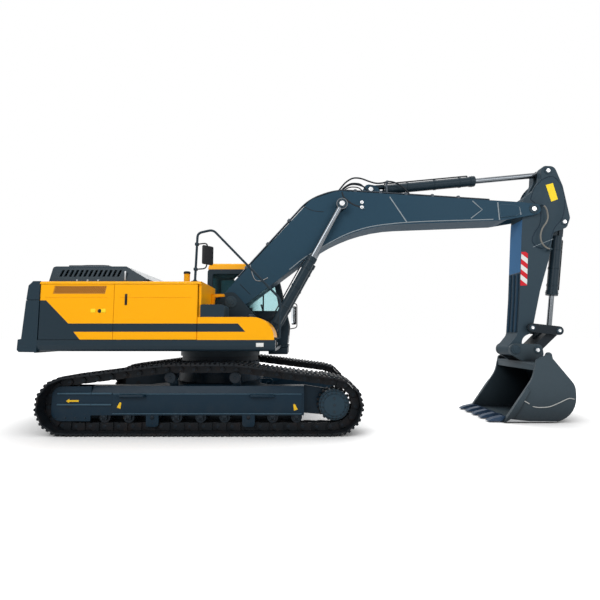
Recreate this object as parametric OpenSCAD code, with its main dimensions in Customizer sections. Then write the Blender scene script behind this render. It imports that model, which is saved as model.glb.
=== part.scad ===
// Crawler excavator of the thirty-tonne class, with its working equipment resting on the ground.
// Millimetres. X points forward along the boom, Y to the machine's left, Z up from the ground.
// Sizes along X are measured from the slew axis; the whole machine is shifted so that the
// origin lies under the middle of its box.

/* [Undercarriage] */
// Distance between the middle lines of the two tracks
track_gauge = 2600; // [2500:10:2800]
// Width of a track shoe
shoe_w = 600; // [500:10:800]
// Distance between the centres of idler and sprocket
tumbler_distance = 4040; // [3900:10:4300]
// Radius from a tumbler's centre to the tips of the grousers
tumbler_r = 440; // [425:1:470]
// Number of shoes in one track
shoe_count = 49; // [45:1:53]
// Thickness of a shoe's plate
shoe_t = 16; // [12:1:20]
// Height of the three grousers above the plate
grouser_h = 30; // [20:1:36]
// Height of the chain's links under the shoes
link_h = 116; // [105:1:122]
// Width of the chain over both its links
link_w = 200; // [160:5:220]
// Height of the grouser tips above the carrier rollers
track_crown_z = 1075; // [1050:1:1110]
// Distance between the two carrier rollers of a track
carrier_spacing = 1000; // [800:10:1300]
// Radius of a carrier roller
carrier_r = 70; // [60:1:80]
// Number of bottom rollers of a track
roller_count = 9; // [7:1:10]
// Distance from one bottom roller to the next
roller_pitch = 366; // [340:1:380]
// Radius of a bottom roller
roller_r = 83; // [75:1:90]
// Width of a track frame's beam
frame_w = 260; // [240:5:300]
// Height of the beam's lower edge
frame_low_z = 277; // [262:1:300]
// Height of the beam's top
frame_top_z = 712; // [660:1:725]
// Radius of the final drive's cover
drive_r = 232; // [200:1:245]
// How far the final drive stands out from the middle of its track
drive_out = 190; // [150:1:260]
// Number of teeth of a sprocket
sprocket_teeth = 21; // [17:2:25]
// Radius of the slew bearing
slew_r = 700; // [620:5:760]
// Height of the car body's belly
belly_z = 520; // [480:5:560]
// Radius of the towing holes
tow_r = 40; // [30:1:45]

/* [House] */
// Height of the house's underside
house_z = 1245; // [1215:1:1300]
// Thickness of the deck plate
deck_t = 49; // [40:1:60]
// Width of the house over its doors
house_w = 2980; // [2900:10:3060]
// Height of the skirts along both sides
skirt_h = 175; // [150:5:200]
// Radius that the tail sweeps about the slew axis
tail_r = 3150; // [3050:10:3300]
// Depth of the counterweight along the machine's middle
counterweight_depth = 620; // [560:10:680]
// Height of the house's top
house_top_z = 2330; // [2280:5:2400]
// Thickness of the doors
door_t = 45; // [35:1:60]
// Gap around a door
door_gap = 6; // [5.5:0.5:9]
// Distance of the seam between the two doors of a side behind the slew axis
door_seam_x = 1374; // [1250:10:1500]
// Distance of the house's front wall behind the slew axis
front_wall_x = 78; // [60:1:120]
// Height of the fuel tank's top
tank_z = 1772; // [1700:5:1850]
// Distance of the tank's front face from the slew axis
tank_x = 1102; // [1050:5:1160]
// Height of the hood above the house's top
hood_h = 280; // [220:5:340]
// Distance of the hood's sides inside the house's sides
hood_inset = 190; // [130:10:290]
// Distance of the hood's front edge behind the slew axis
hood_front_x = 960; // [900:10:1100]
// Number of louvres in each side of the hood
louvre_count = 13; // [9:1:15]
// Radius of the exhaust pipe
exhaust_r = 50; // [40:1:60]
// Radius of the handrail's tube
rail_r = 19; // [15:1:24]
// Height of the handrail's highest bend
rail_z = 3145; // [2900:5:3250]
// Radius of the counterweight's lifting holes
lifting_r = 24; // [20:1:30]

/* [Cab] */
// Distance of the cab's inner wall from the machine's middle
cab_in_y = 485; // [478:1:520]
// Distance of the cab's outer wall inside the house's side
cab_inset = 15; // [5:1:30]
// Distance of the cab's back behind the slew axis
cab_back_x = 400; // [380:5:420]
// Distance of the cab's front from the slew axis
cab_front_x = 1278; // [1220:2:1320]
// Height of the cab's eaves
cab_eaves_z = 2842; // [2780:2:2900]
// Thickness of the roof
roof_t = 135; // [100:5:160]
// Thickness of the cab's walls and of its door
cab_t = 55; // [45:1:65]
// Width of the cab's posts
post_w = 85; // [70:5:110]
// Distance of the cab door's hinge from the slew axis
cab_hinge_x = 150; // [100:5:220]
// Thickness of the glass
glass_t = 8; // [6:1:12]
// Width of a console beside the seat
console_w = 130; // [110:5:150]

/* [Boom] */
// Distance of the boom's foot pin from the slew axis
foot_x = 227; // [180:1:260]
// Height of the boom's foot pin
foot_z = 2102; // [2070:1:2140]
// Distance from the foot pin to the arm's pin, along X
boom_reach = 5703; // [5600:1:5800]
// Height of the arm's pin above the foot pin
boom_rise = 1773; // [1740:1:1810]
// Width of the boom
boom_w = 520; // [500:2:540]
// Radius of the boom's foot pin
foot_pin_r = 62; // [50:1:70]
// Radius of the arm's pin
arm_pin_r = 55; // [45:1:62]
// Distance of the boom cylinders' lower pins from the slew axis
lift_x = 946; // [920:1:980]
// Height of the boom cylinders' lower pins
lift_z = 1495; // [1480:1:1520]
// Distance of the boom cylinders from the machine's middle
lift_y = 365; // [362:1:370]
// Radius of the boom cylinders' barrels
lift_r = 88; // [80:1:90]
// Length of the boom cylinders' barrels from the pin
lift_len = 1630; // [1600:5:1660]
// Radius of the arm cylinder's barrel
crowd_r = 92; // [80:1:98]
// Length of the arm cylinder's barrel from the pin
crowd_len = 2060; // [1950:5:2100]
// Radius of the steel pipes on the boom
pipe_r = 14; // [10:1:18]
// Radius of the hydraulic hoses
hose_r = 16; // [12:1:18]

/* [Arm] */
// Width of the arm
arm_w = 410; // [396:2:412]
// Radius of the bucket cylinder's barrel
curl_r = 95; // [85:1:97]
// Length of the bucket cylinder's barrel from the pin
curl_len = 1400; // [1350:5:1440]
// Radius of the bucket's pin
bucket_pin_r = 50; // [42:1:56]
// Radius of the pins of the guide links
link_pin_r = 42; // [36:1:46]
// Thickness of a guide link
guide_t = 50; // [40:1:55]

/* [Bucket] */
// Width of the bucket over its side plates
bucket_w = 1360; // [1250:10:1500]
// Thickness of the bucket's side plates
bucket_side_t = 40; // [30:1:50]
// Thickness of the bucket's wrapper
wrapper_t = 32; // [26:1:40]
// Thickness of the bucket's two ears
ear_t = 50; // [40:1:55]
// Number of teeth
tooth_count = 5; // [4:1:6]
// Width of a tooth
tooth_w = 110; // [90:2:130]
// Length of a tooth ahead of the lip
tooth_len = 270; // [220:5:300]

/* [Fits] */
// Gap at pins, rods and bearings
running_gap = 0.3; // [0.2:0.05:0.5]
// Gap between moving faces side by side
side_gap = 6; // [5.5:0.5:8]

/* [Hidden] */
$fn = 64;
arc_steps = 8;
big = 6000;

track_y = track_gauge / 2;
seat_r = tumbler_r - grouser_h - shoe_t;
carrier_seat_r = carrier_r + running_gap + link_h;
carrier_z = track_crown_z - grouser_h - shoe_t - carrier_seat_r;
belt = [
    [-tumbler_distance / 2, tumbler_r, seat_r],
    [tumbler_distance / 2, tumbler_r, seat_r],
    [carrier_spacing / 2, carrier_z, carrier_seat_r],
    [-carrier_spacing / 2, carrier_z, carrier_seat_r]
];
belt_normals = [for (i = [0 : 3]) tangent_normal(belt[i], belt[(i + 1) % 4])];
belt_lengths = [for (i = [0 : 3]) arc_length(i) + run_length(i)];
shoe_pitch = (belt_lengths * [1, 1, 1, 1]) / shoe_count;
joints = [for (k = [0 : shoe_count]) belt_at(k * shoe_pitch, 0)];
shoe_profile = [[0.03, 0], [0.13, 1], [0.31, 0], [0.5, 1], [0.69, 0], [0.87, 1], [0.97, 0]];
rail_z_low = grouser_h + shoe_t + link_h;
tread_r = sqrt(pow(seat_r, 2) - pow(shoe_pitch / 2, 2)) - link_h - running_gap;
roller_z = rail_z_low + roller_r + running_gap;
beam_low_z = roller_z + roller_r + side_gap;
beam_x0 = -tumbler_distance / 2 + 330;
beam_x1 = tumbler_distance / 2 - 460;
yoke_x = tumbler_distance / 2 + 270;
frame_in = track_y - frame_w / 2;
frame_wall = 22;
axle_r = 30;
idler_axle_r = 60;
sprocket_half = 32;
slew_z = house_z - 125;
car_top_z = slew_z - 110;

deck_z = house_z + deck_t;
counterweight_x = tail_r - counterweight_depth;
deck_x0 = -counterweight_x;
deck_x1 = tank_x + 18;
hood_w = house_w - 2 * hood_inset;
skirt_z = house_z + skirt_h;
skirt_w = 190;
skirt_in = house_w / 2 - skirt_w;
cover_t = 45;
cover_z = house_top_z - cover_t;
door_z0 = skirt_z + door_gap;
door_z1 = cover_z - door_gap;
door_in = house_w / 2 - door_t;
door_y = house_w / 2 - door_t / 2;
groove_z = 2030;
crease_z = 2070;
rod_r = 9;
bracket_in = boom_w / 2 + side_gap;
bracket_t = 48;
bracket_back_x = 620;
step_y = 440;
back_wall_x = 640;
tank_in = 640;
bay_x = cab_back_x + 20;
bay_wall_t = 40;
grille_x0 = -counterweight_x + 205;
grille_x1 = -door_seam_x - 143;
grille_z0 = door_z1 - 149;
grille_z1 = door_z1 - 24;
grille_slant = 27;
grille_depth = 22;
grille_t = 10;

cab_out_y = house_w / 2 - cab_inset;
cab_w = cab_out_y - cab_in_y;
roof_z = cab_eaves_z + roof_t;
sill_z = deck_z + 400;
window_top = cab_eaves_z - post_w - 10;
screen_low_z = deck_z + 190;
floor_z = deck_z + cab_t;
console_y = cab_w / 2 - cab_t - 45 - console_w / 2;
seat_y = cab_in_y + cab_w / 2;
seat_w = 2 * (console_y - console_w / 2 - 15);
pedal_y = 90;

foot = [foot_x, foot_z];
arm_pin = foot + [boom_reach, boom_rise];
knee = [1985, 2128];
lift_base = [lift_x, lift_z];
lift_eye = foot + [2055, 1829];
crowd_base = foot + [2649, 2214];
crowd_eye = arm_pin + [340, 770];
curl_base = arm_pin + [600, -235];
guide_pin = arm_pin + [-177, -2245];
bucket_pin = arm_pin + [-470, -2645];
link_joint = guide_pin + [492, -55];
ear_pin = bucket_pin + [401, -9];
eye_r = 105;
eye_t = 90;
lug_r = 110;
gland_step = 10;
lift_pin_r = 48;
crowd_pin_r = 42;
curl_pin_r = 40;
lift_rod_r = 50;
crowd_rod_r = 52;
curl_rod_r = 46;
crowd_lug_in = eye_t / 2 + side_gap;
link_arm_in = eye_t / 2 + 2 * side_gap;
arm_reach = curl_base.x + lug_r;
slew_x = (tail_r - arm_reach) / 2;
ear_in = arm_w / 2 + side_gap;
ear_out = ear_in + ear_t;
lip_x = 490;
bucket_low = 1210;
bucket_back = 775;
bucket_round = 420;
bucket_heel = 600;
bucket_heel_r = 260;
bucket_brow = [50, 470];
arch_hose = [
    [2019, 34], [2080, 118], [2160, 213], [2270, 290], [2370, 312], [2480, 299], [2610, 257], [2740, 230],
    [2860, 243], [2960, 274], [3060, 276], [3170, 238], [3270, 174], [3350, 89], [3390, 32]
];
side_hose = [
    [160, 70], [205, 20], [232, -60], [238, -170], [205, -270], [145, -350], [105, -430], [82, -530],
    [90, -630], [135, -710], [200, -762], [262, -780]
];
guide_in = ear_out + side_gap;
guide_out = guide_in + guide_t;

yellow = [0.97, 0.62, 0.03];
slate = [0.17, 0.24, 0.28];
boom_blue = [0.2, 0.29, 0.34];
arm_grey = [0.27, 0.31, 0.34];
iron = [0.12, 0.13, 0.14];
chrome = [0.8, 0.8, 0.82];
black = [0.06, 0.06, 0.07];
tint = [0.35, 0.62, 0.62, 0.5];

function unit(v) = v / norm(v);
function at_angle(a) = [cos(a), sin(a)];
function flat(p) = [p.x, p.y];

// Points of a polygon whose corners [x, y, r] are rounded with their own radii
function corner(a, b, c, r) =
    r <= 0 ? [b] :
    let (
        u = unit(a - b),
        w = unit(c - b),
        half = acos(u * w) / 2,
        mid = b + unit(u + w) * r / sin(half),
        from = b + u * r / tan(half) - mid,
        to = b + w * r / tan(half) - mid,
        a0 = atan2(from.y, from.x),
        turn = (atan2(to.y, to.x) - a0 + 540) % 360 - 180
    )
    [for (i = [0 : arc_steps]) mid + r * at_angle(a0 + turn * i / arc_steps)];
function rounded(p) = [
    for (i = [0 : len(p) - 1])
    each corner(flat(p[(i + len(p) - 1) % len(p)]), flat(p[i]), flat(p[(i + 1) % len(p)]), p[i].z)
];
// Height of the boom's top plate above the foot pin, ahead of the knee
function boom_top(x) = knee.y + (x - knee.x) * (boom_rise + 130 - knee.y) / (boom_reach - 200 - knee.x);
function from_pin(pin, p) = [for (q = p) [pin.x + q.x, pin.y + q.y, q.z]];

// The belt runs anticlockwise round circles [x, z, r]; its normals point outward
function tangent_normal(a, b) =
    let (d = flat(b) - flat(a))
    atan2(d.y, d.x) - 90 + asin((a.z - b.z) / norm(d));
function arc_turn(i) = (belt_normals[i] - belt_normals[(i + 3) % 4] + 720) % 360;
function arc_length(i) = belt[i].z * arc_turn(i) * PI / 180;
function run_length(i) =
    let (a = belt[i], b = belt[(i + 1) % 4])
    sqrt(pow(norm(flat(b) - flat(a)), 2) - pow(a.z - b.z, 2));
function belt_at(s, i) =
    let (c = belt[i % 4], arc = arc_length(i % 4), out = belt_normals[i % 4])
    i >= 4 ? belt_at(0, 0) :
    s <= arc ? let (a = out - arc_turn(i) + s / c.z * 180 / PI) [flat(c) + c.z * at_angle(a), a] :
    s <= belt_lengths[i] ? [flat(c) + c.z * at_angle(out) + (s - arc) * at_angle(out + 90), out] :
    belt_at(s - belt_lengths[i], i + 1);

module box(a, b) {
    translate(a) cube(b - a);
}

// Extrudes an outline drawn in X and Z from y0 to y1
module along_y(y0, y1) {
    translate([0, y1, 0]) rotate([90, 0, 0]) linear_extrude(y1 - y0) children();
}

// Extrudes an outline drawn in Y and Z from x0 to x1
module along_x(x0, x1) {
    translate([x0, 0, 0]) rotate([90, 0, 90]) linear_extrude(x1 - x0) children();
}

module plate(points, y0, y1) {
    along_y(y0, y1) polygon(rounded(points));
}

module pin(p, r, y0, y1) {
    translate([p.x, y1, p.y]) rotate([90, 0, 0]) cylinder(r = r, h = y1 - y0);
}

module both_sides() {
    children();
    mirror([0, 1, 0]) children();
}

module straight_rod(a, b, r) {
    d = b - a;
    translate(a) rotate([0, acos(d.z / norm(d)), atan2(d.y, d.x)]) cylinder(r = r, h = norm(d));
}

// A tube along points [x, z]
module tube(path, y, r) {
    for (i = [0 : len(path) - 2]) {
        hull() {
            tube_end(path[i], y, r);
            tube_end(path[i + 1], y, r);
        }
    }
}

module tube_end(p, y, r) {
    translate([p.x, y, p.y]) rotate([90, 0, 0]) sphere(r, $fn = 16);
}

// Lays a piece drawn along X from a pin towards another pin
module toward(a, b, y) {
    translate([a.x, y, a.y]) rotate([0, -atan2(b.y - a.y, b.x - a.x), 0]) children();
}

// The barrel starts behind a neck that clears the lugs at its pin
module barrel(r, len, rod, hole, eye, width, neck) {
    gland = 90;
    difference() {
        union() {
            rotate([90, 0, 0]) cylinder(r = eye, h = width, center = true);
            translate([0, -width / 2, -eye]) cube([neck + 1, width, 2 * eye]);
            translate([neck, 0, 0]) rotate([0, 90, 0]) cylinder(r = r, h = len - gland - neck + 1);
            translate([len - gland, 0, 0]) rotate([0, 90, 0]) cylinder(r = r + gland_step, h = gland);
        }
        rotate([90, 0, 0]) cylinder(r = hole, h = width + 2 * r, center = true);
        translate([eye + 8, 0, 0]) rotate([0, 90, 0]) cylinder(r = rod + running_gap, h = len);
    }
}

module piston_rod(length, tail, rod, eye, width) {
    translate([tail, 0, 0]) rotate([0, 90, 0]) cylinder(r = rod, h = length - tail);
    translate([length, 0, 0]) rotate([90, 0, 0]) cylinder(r = eye, h = width, center = true);
}

module tracks_side(side) {
    translate([0, side * track_y, 0]) children();
}

module track(side) {
    color(black) tracks_side(side) {
        shoe_loop();
        chain_loop();
    }
}

module shoe_loop() {
    outer = [
        for (k = [0 : shoe_count - 1])
        let (
            a = joints[k][0],
            d = joints[k + 1][0] - a,
            out = unit([d.y, -d.x])
        )
        for (p = shoe_profile) a + d * p.x + out * (shoe_t + grouser_h * p.y)
    ];
    along_y(-shoe_w / 2, shoe_w / 2) difference() {
        polygon(outer);
        polygon([for (k = [0 : shoe_count - 1]) joints[k][0]]);
    }
}

module chain_loop() {
    along_y(-link_w / 2, link_w / 2) difference() {
        polygon([for (k = [0 : shoe_count - 1]) joints[k][0] + at_angle(joints[k][1]) * shoe_t / 2]);
        polygon([for (k = [0 : shoe_count - 1]) joints[k][0] - at_angle(joints[k][1]) * link_h]);
    }
}

module track_left() {
    track(1);
}

module track_right() {
    track(-1);
}

module track_frames() {
    color(slate) both_sides() tracks_side(1) track_frame();
}

module track_frame() {
    half = frame_w / 2;
    wall = frame_wall;
    guard_low = 105;
    difference() {
        union() {
            along_x(beam_x0, beam_x1) polygon([
                [-half, frame_low_z], [wall - half, frame_low_z], [wall - half, beam_low_z],
                [half - wall, beam_low_z], [half - wall, frame_low_z], [half, frame_low_z],
                [half, frame_top_z - 106], [half - 48, frame_top_z], [-half, frame_top_z]
            ]);
            yoke_plate(half - wall, half);
            yoke_plate(-half, wall - half);
            drive_flange(-half, wall * 2 - half);
            for (k = [2, roller_count - 3]) {
                roller_guard(roller_x(k), guard_low, half - wall, half);
                roller_guard(roller_x(k), guard_low, -half, wall - half);
            }
        }
        for (k = [2, roller_count - 3]) {
            pin([roller_x(k), roller_z], axle_r + running_gap, -half - 1, half + 1);
        }
        pin([-tumbler_distance / 2, tumbler_r], idler_axle_r, -half - 1, half + 1);
    }
    for (x = [-carrier_spacing / 2, carrier_spacing / 2]) carrier_bracket(x);
}

function roller_x(k) = (k - (roller_count - 1) / 2) * roller_pitch - 16;

module yoke_plate(y0, y1) {
    low = 190;
    plate([
        [-yoke_x, low, 150], [beam_x0 + 1, low, 0],
        [beam_x0 + 1, frame_top_z, 0], [-yoke_x, frame_top_z, 150]
    ], y0, y1);
}

module drive_flange(y0, y1) {
    c = tumbler_distance / 2;
    plate([
        [beam_x1 - 1, frame_low_z, 0], [c - 40, tumbler_r - 200, 60], [c + 190, tumbler_r - 120, 90],
        [c + 190, tumbler_r + 120, 90], [c - 40, tumbler_r + 205, 60], [beam_x1 - 1, frame_top_z, 0]
    ], y0, y1);
}

module roller_guard(x, low, y0, y1) {
    wide = 95;
    plate([
        [x - wide, low, 45], [x + wide, low, 45],
        [x + wide, frame_low_z + 1, 0], [x - wide, frame_low_z + 1, 0]
    ], y0, y1);
}

module carrier_bracket(x) {
    half = frame_w / 2;
    foot = 60;
    plate([
        [x - foot, frame_top_z, 0], [x + foot, frame_top_z, 0],
        [x + 40, carrier_z + 40, 35], [x - 40, carrier_z + 40, 35]
    ], -half, 50 - half);
}

module rollers() {
    color(iron) both_sides() tracks_side(1) {
        for (k = [0 : roller_count - 1]) bottom_roller(k);
        for (x = [-carrier_spacing / 2, carrier_spacing / 2]) carrier_roller(x);
    }
}

module bottom_roller(k) {
    half = frame_w / 2;
    body = half - frame_wall - side_gap;
    neck = 34;
    guarded = k == 2 || k == roller_count - 3;
    c = [roller_x(k), roller_z];
    pin(c, roller_r, -body, -neck);
    pin(c, roller_r - 14, -neck - 1, neck + 1);
    pin(c, roller_r, neck, body);
    pin(c, axle_r, -half, half);
    if (!guarded) {
        for (s = [-1, 1]) {
            translate([c.x - 42, s * (half - frame_wall / 2) - frame_wall / 2, c.y - 36])
                cube([84, frame_wall, frame_low_z - c.y + 36]);
        }
    }
}

module carrier_roller(x) {
    half = frame_w / 2;
    c = [x, carrier_z];
    pin(c, carrier_r - 10, 50 - half, link_w / 2);
}

module idlers() {
    color(iron) both_sides() tracks_side(1) {
        c = [-tumbler_distance / 2, tumbler_r];
        rim = frame_w / 2 - frame_wall - side_gap;
        pin(c, tread_r, -rim, rim);
        pin(c, idler_axle_r - running_gap, -frame_w / 2, frame_w / 2);
    }
}

module sprockets() {
    color(iron) both_sides() tracks_side(1) translate([tumbler_distance / 2, 0, tumbler_r]) sprocket();
}

module sprocket() {
    half = sprocket_half;
    root = tread_r - 34;
    pitch_angle = 360 / sprocket_teeth;
    along_y(-half, half) polygon([
        for (k = [0 : sprocket_teeth - 1])
        for (p = [[0, root], [0.3, root], [0.45, tread_r], [0.85, tread_r]])
        p.y * at_angle((k + p.x) * pitch_angle)
    ]);
}

module final_drives() {
    color(slate) both_sides() tracks_side(1) {
        c = [tumbler_distance / 2, tumbler_r];
        pin(c, drive_r, sprocket_half, drive_out - 45);
        pin(c, drive_r - 30, drive_out - 46, drive_out - 20);
        pin(c, drive_r - 75, drive_out - 21, drive_out);
        pin(c, drive_r - 40, 2 * frame_wall - frame_w / 2, -sprocket_half);
    }
}

module car_body() {
    leg_top = frame_top_z - 30;
    tow_x = 905;
    color(slate) difference() {
        union() {
            translate([0, 0, belly_z]) linear_extrude(leg_top - belly_z) polygon(car_plan());
            translate([0, 0, leg_top - 1])
                cylinder(r1 = slew_r + 60, r2 = slew_r + 20, h = car_top_z - leg_top + 1);
            for (s = [-1, 1]) {
                plate([
                    [s * 700, belly_z, 0], [s * (tow_x + 85), belly_z, 60],
                    [s * (tow_x + 85), leg_top, 60], [s * 700, leg_top, 0]
                ], -30, 30);
            }
        }
        for (s = [-1, 1]) pin([s * tow_x, (belly_z + leg_top) / 2], tow_r, -60, 60);
    }
}

function car_plan() =
    let (q = [[1080, frame_in], [560, frame_in], [330, slew_r + 60]])
    [
        each q,
        each [for (i = [2 : -1 : 0]) [-q[i].x, q[i].y]],
        [-780, 560],
        [-780, -560],
        each [for (p = q) [-p.x, -p.y]],
        each [for (i = [2 : -1 : 0]) [q[i].x, -q[i].y]],
        [780, -560],
        [780, 560]
    ];

module slew_ring() {
    color(iron) translate([0, 0, car_top_z]) cylinder(r = slew_r, h = slew_z - car_top_z);
}

module revolving_frame() {
    color(slate) {
        box([deck_x0, -skirt_in, house_z], [deck_x1, skirt_in, deck_z]);
        box([-cab_back_x, skirt_in - 1, house_z], [deck_x1, cab_out_y, deck_z]);
        translate([0, 0, slew_z + running_gap]) cylinder(r = slew_r + 30, h = house_z - slew_z);
        both_sides() boom_bracket();
        pin(foot, foot_pin_r, -bracket_in - 1, bracket_in + 1);
        both_sides() pin(lift_base, lift_pin_r, bracket_in, lift_y + eye_t / 2 + 22);
    }
}

module boom_bracket() {
    plate([
        [-bracket_back_x, deck_z - 1, 0], [lift_base.x + 130, deck_z - 1, 0],
        [lift_base.x + 85, lift_base.y + 60, 70],
        [lift_base.x - 45, lift_base.y + 100, 70],
        [foot.x + 190, foot.y + 40, 150], [foot.x + 60, foot.y + 185, 120], [foot.x - 130, foot.y + 170, 120]
    ], bracket_in, bracket_in + bracket_t);
}

module counterweight() {
    side = house_w / 2;
    top_in = 60;
    groove = 12;
    color(slate) difference() {
        intersection() {
            rotate_extrude() polygon([
                [0, house_z - 20], [tail_r - 190, house_z - 20], [tail_r - 40, house_z + 100],
                [tail_r, skirt_z], [tail_r - 38, groove_z], [tail_r - 38 - groove, groove_z],
                [tail_r - 38 - groove, groove_z + groove], [tail_r - 40, groove_z + groove],
                [tail_r - top_in, house_top_z - 70], [tail_r - top_in - 60, house_top_z], [0, house_top_z]
            ]);
            translate([0, 0, house_z - 20]) linear_extrude(house_top_z) polygon(rounded([
                [-counterweight_x, -side, 0], [-counterweight_x, side, 0],
                [-tail_r - 30, side, 330], [-tail_r - 30, -side, 330]
            ]));
        }
        for (s = [-1, 1]) {
            translate([-counterweight_x - 260, s * 700, house_top_z - 120]) cylinder(r = lifting_r, h = 200);
        }
        both_sides() box([-big, side - groove, groove_z], [-counterweight_x + 1, side + 1, groove_z + groove]);
    }
}

module skirt(x0, x1) {
    out = house_w / 2;
    along_x(x0, x1) polygon(rounded([
        [skirt_in, house_z, 0], [out - 30, house_z, 60], [out, house_z + 90, 60],
        [out, skirt_z, 0], [skirt_in, skirt_z, 0]
    ]));
}

module side_skirts() {
    color(slate) {
        mirror([0, 1, 0]) skirt(deck_x0, deck_x1);
        skirt(deck_x0, -cab_back_x - door_gap);
    }
}

module fuel_tank() {
    color(yellow) {
        plate([
            [-front_wall_x, skirt_z, 0], [tank_x, skirt_z, 0], [tank_x, tank_z, 330], [-front_wall_x, tank_z, 0]
        ], -house_w / 2, -tank_in);
        box([-front_wall_x, -skirt_in, deck_z], [tank_x - 40, -tank_in, skirt_z]);
    }
}

module step_box() {
    back = bay_wall_t - front_wall_x;
    long = 368;
    high = 190;
    color(slate) plate([
        [back, tank_z, 0], [back + long, tank_z, 0], [back + long, tank_z + high, 40], [back, tank_z + high, 0]
    ], -house_w / 2, 430 - house_w / 2);
}

module bay_walls() {
    wall = bay_wall_t;
    back = -back_wall_x;
    color(yellow) {
        box([-front_wall_x, -door_in + 4, tank_z], [wall - front_wall_x, -step_y, cover_z]);
        box([-front_wall_x, -tank_in, deck_z], [wall - front_wall_x, -step_y, tank_z]);
        box([back, -step_y - wall, deck_z], [-front_wall_x, -step_y, cover_z]);
        box([back - wall, -step_y - wall, deck_z], [back, step_y, cover_z]);
        box([back - wall, step_y, deck_z], [-bay_x - wall, step_y + wall, cover_z]);
        box([-bay_x - wall, step_y, deck_z], [-bay_x, skirt_in, cover_z]);
        both_sides() box([-door_seam_x - 30, skirt_in - 40, deck_z], [30 - door_seam_x, skirt_in, cover_z]);
    }
}

module deck_covers() {
    side = house_w / 2;
    hole = hood_w / 2 - 60;
    color(yellow) difference() {
        union() {
            along_x(-counterweight_x, -bay_x) polygon(rounded([
                [-side, cover_z, 0], [side, cover_z, 0], [side, house_top_z, 40], [-side, house_top_z, 40]
            ]));
            along_x(-bay_x - 1, bay_wall_t - front_wall_x) polygon(rounded([
                [-side, cover_z, 0], [-step_y, cover_z, 0], [-step_y, house_top_z, 0], [-side, house_top_z, 40]
            ]));
        }
        box([-counterweight_x + 60, -hole, cover_z - 1], [-hood_front_x - 90, hole, house_top_z + 1]);
        box([-back_wall_x, -step_y, cover_z - 1], [0, step_y, house_top_z + 1]);
    }
}

function hinge_points() = [
    [-counterweight_x + door_gap + door_t / 2, -door_y],
    [-front_wall_x - door_gap - door_t / 2, -door_y],
    [-counterweight_x + door_gap + door_t / 2, door_y],
    [-bay_x - door_gap - door_t / 2, door_y]
];

module hinge_rods() {
    color(iron) {
        for (p = hinge_points()) translate([p.x, p.y, skirt_z]) cylinder(r = rod_r, h = cover_z - skirt_z);
        pin([-hood_front_x - 30, house_top_z + 40], rod_r, -hood_w / 2 + 40, hood_w / 2 - 40);
        both_sides() translate([-hood_front_x - 44, hood_w / 2 - 110, house_top_z]) cube([28, 20, 45]);
        cab_hinge_rod();
    }
}

module cab_hinge_rod() {
    translate([cab_hinge_x + cab_t / 2, cab_out_y - cab_t / 2, deck_z + 60])
        cylinder(r = rod_r, h = cab_eaves_z - deck_z - 100);
}

// A door lies between x0 and x1; its edge at the hinge is round about the rod
module side_door(hinge, x0, x1, side) {
    y0 = side > 0 ? door_in : -house_w / 2;
    face = side * house_w / 2;
    hung_behind = hinge.x < (x0 + x1) / 2;
    a = hung_behind ? hinge.x : x0;
    b = hung_behind ? x1 : hinge.x;
    difference() {
        union() {
            box([a, y0, door_z0], [b, y0 + door_t, door_z1]);
            translate([hinge.x, hinge.y, door_z0]) cylinder(r = door_t / 2, h = door_z1 - door_z0);
        }
        translate([hinge.x, hinge.y, door_z0 - 1]) cylinder(r = rod_r + running_gap, h = door_z1 - door_z0 + 2);
        box([x0 + 2 * door_t, face - 3, crease_z], [x1 - 2 * door_t, face + 3, crease_z + 6]);
    }
}

function grille_outline(g) = [
    [grille_x0 - g, grille_z0 - g], [grille_x1 + g, grille_z0 - g],
    [grille_x1 + grille_slant + g, grille_z1 + g], [grille_x0 + grille_slant - g, grille_z1 + g]
];

module grille_recess() {
    along_y(house_w / 2 - grille_depth, house_w / 2 + 1) polygon(grille_outline(0));
}

// A plate with rows of diamond openings, set into a rear door
module grille() {
    columns = 18;
    rows = 3;
    pitch = [(grille_x1 - grille_x0 - 52) / columns, (grille_z1 - grille_z0 - 17) / rows];
    open = 0.4 * pitch;
    back = house_w / 2 - grille_depth;
    color(iron) along_y(back, back + grille_t) difference() {
        polygon(grille_outline(-running_gap));
        for (r = [0 : rows - 1]) {
            for (c = [0 : columns - 1]) {
                x = grille_x0 + 55 + (c + r % 2 / 2) * pitch.x;
                z = grille_z0 + 27 + r * pitch.y;
                polygon([[x - open.x, z], [x, z - open.y], [x + open.x, z], [x, z + open.y]]);
            }
        }
    }
}

module right_grille() {
    mirror([0, 1, 0]) grille();
}

module left_grille() {
    grille();
}

module right_rear_door() {
    color(yellow) difference() {
        side_door(hinge_points()[0], -counterweight_x + door_gap, -door_seam_x - door_gap / 2, -1);
        mirror([0, 1, 0]) grille_recess();
    }
}

module right_front_door() {
    color(yellow) side_door(hinge_points()[1], -door_seam_x + door_gap / 2, -front_wall_x - door_gap, -1);
}

module left_rear_door() {
    color(yellow) difference() {
        side_door(hinge_points()[2], -counterweight_x + door_gap, -door_seam_x - door_gap / 2, 1);
        grille_recess();
    }
}

module left_front_door() {
    color(yellow) side_door(hinge_points()[3], -door_seam_x + door_gap / 2, -bay_x - door_gap, 1);
}

module hood_body(t) {
    low = house_top_z + side_gap;
    side = hood_w / 2;
    intersection() {
        plate([
            [-counterweight_x + 10 + t, low - t, 0], [-counterweight_x + 40 + t, house_top_z + hood_h - t, 50],
            [-hood_front_x - 365 - t, house_top_z + hood_h - t, 60], [-hood_front_x - t, low + 60, 20],
            [-hood_front_x - t, low + 30, 0], [-hood_front_x - 30, low - t, 0]
        ], -side, side);
        along_x(-big, big) polygon(rounded([
            [-side + t, low - t, 0], [side - t, low - t, 0], [side - 60 - t, house_top_z + hood_h - t, 50],
            [60 + t - side, house_top_z + hood_h - t, 50]
        ]));
    }
}

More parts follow.
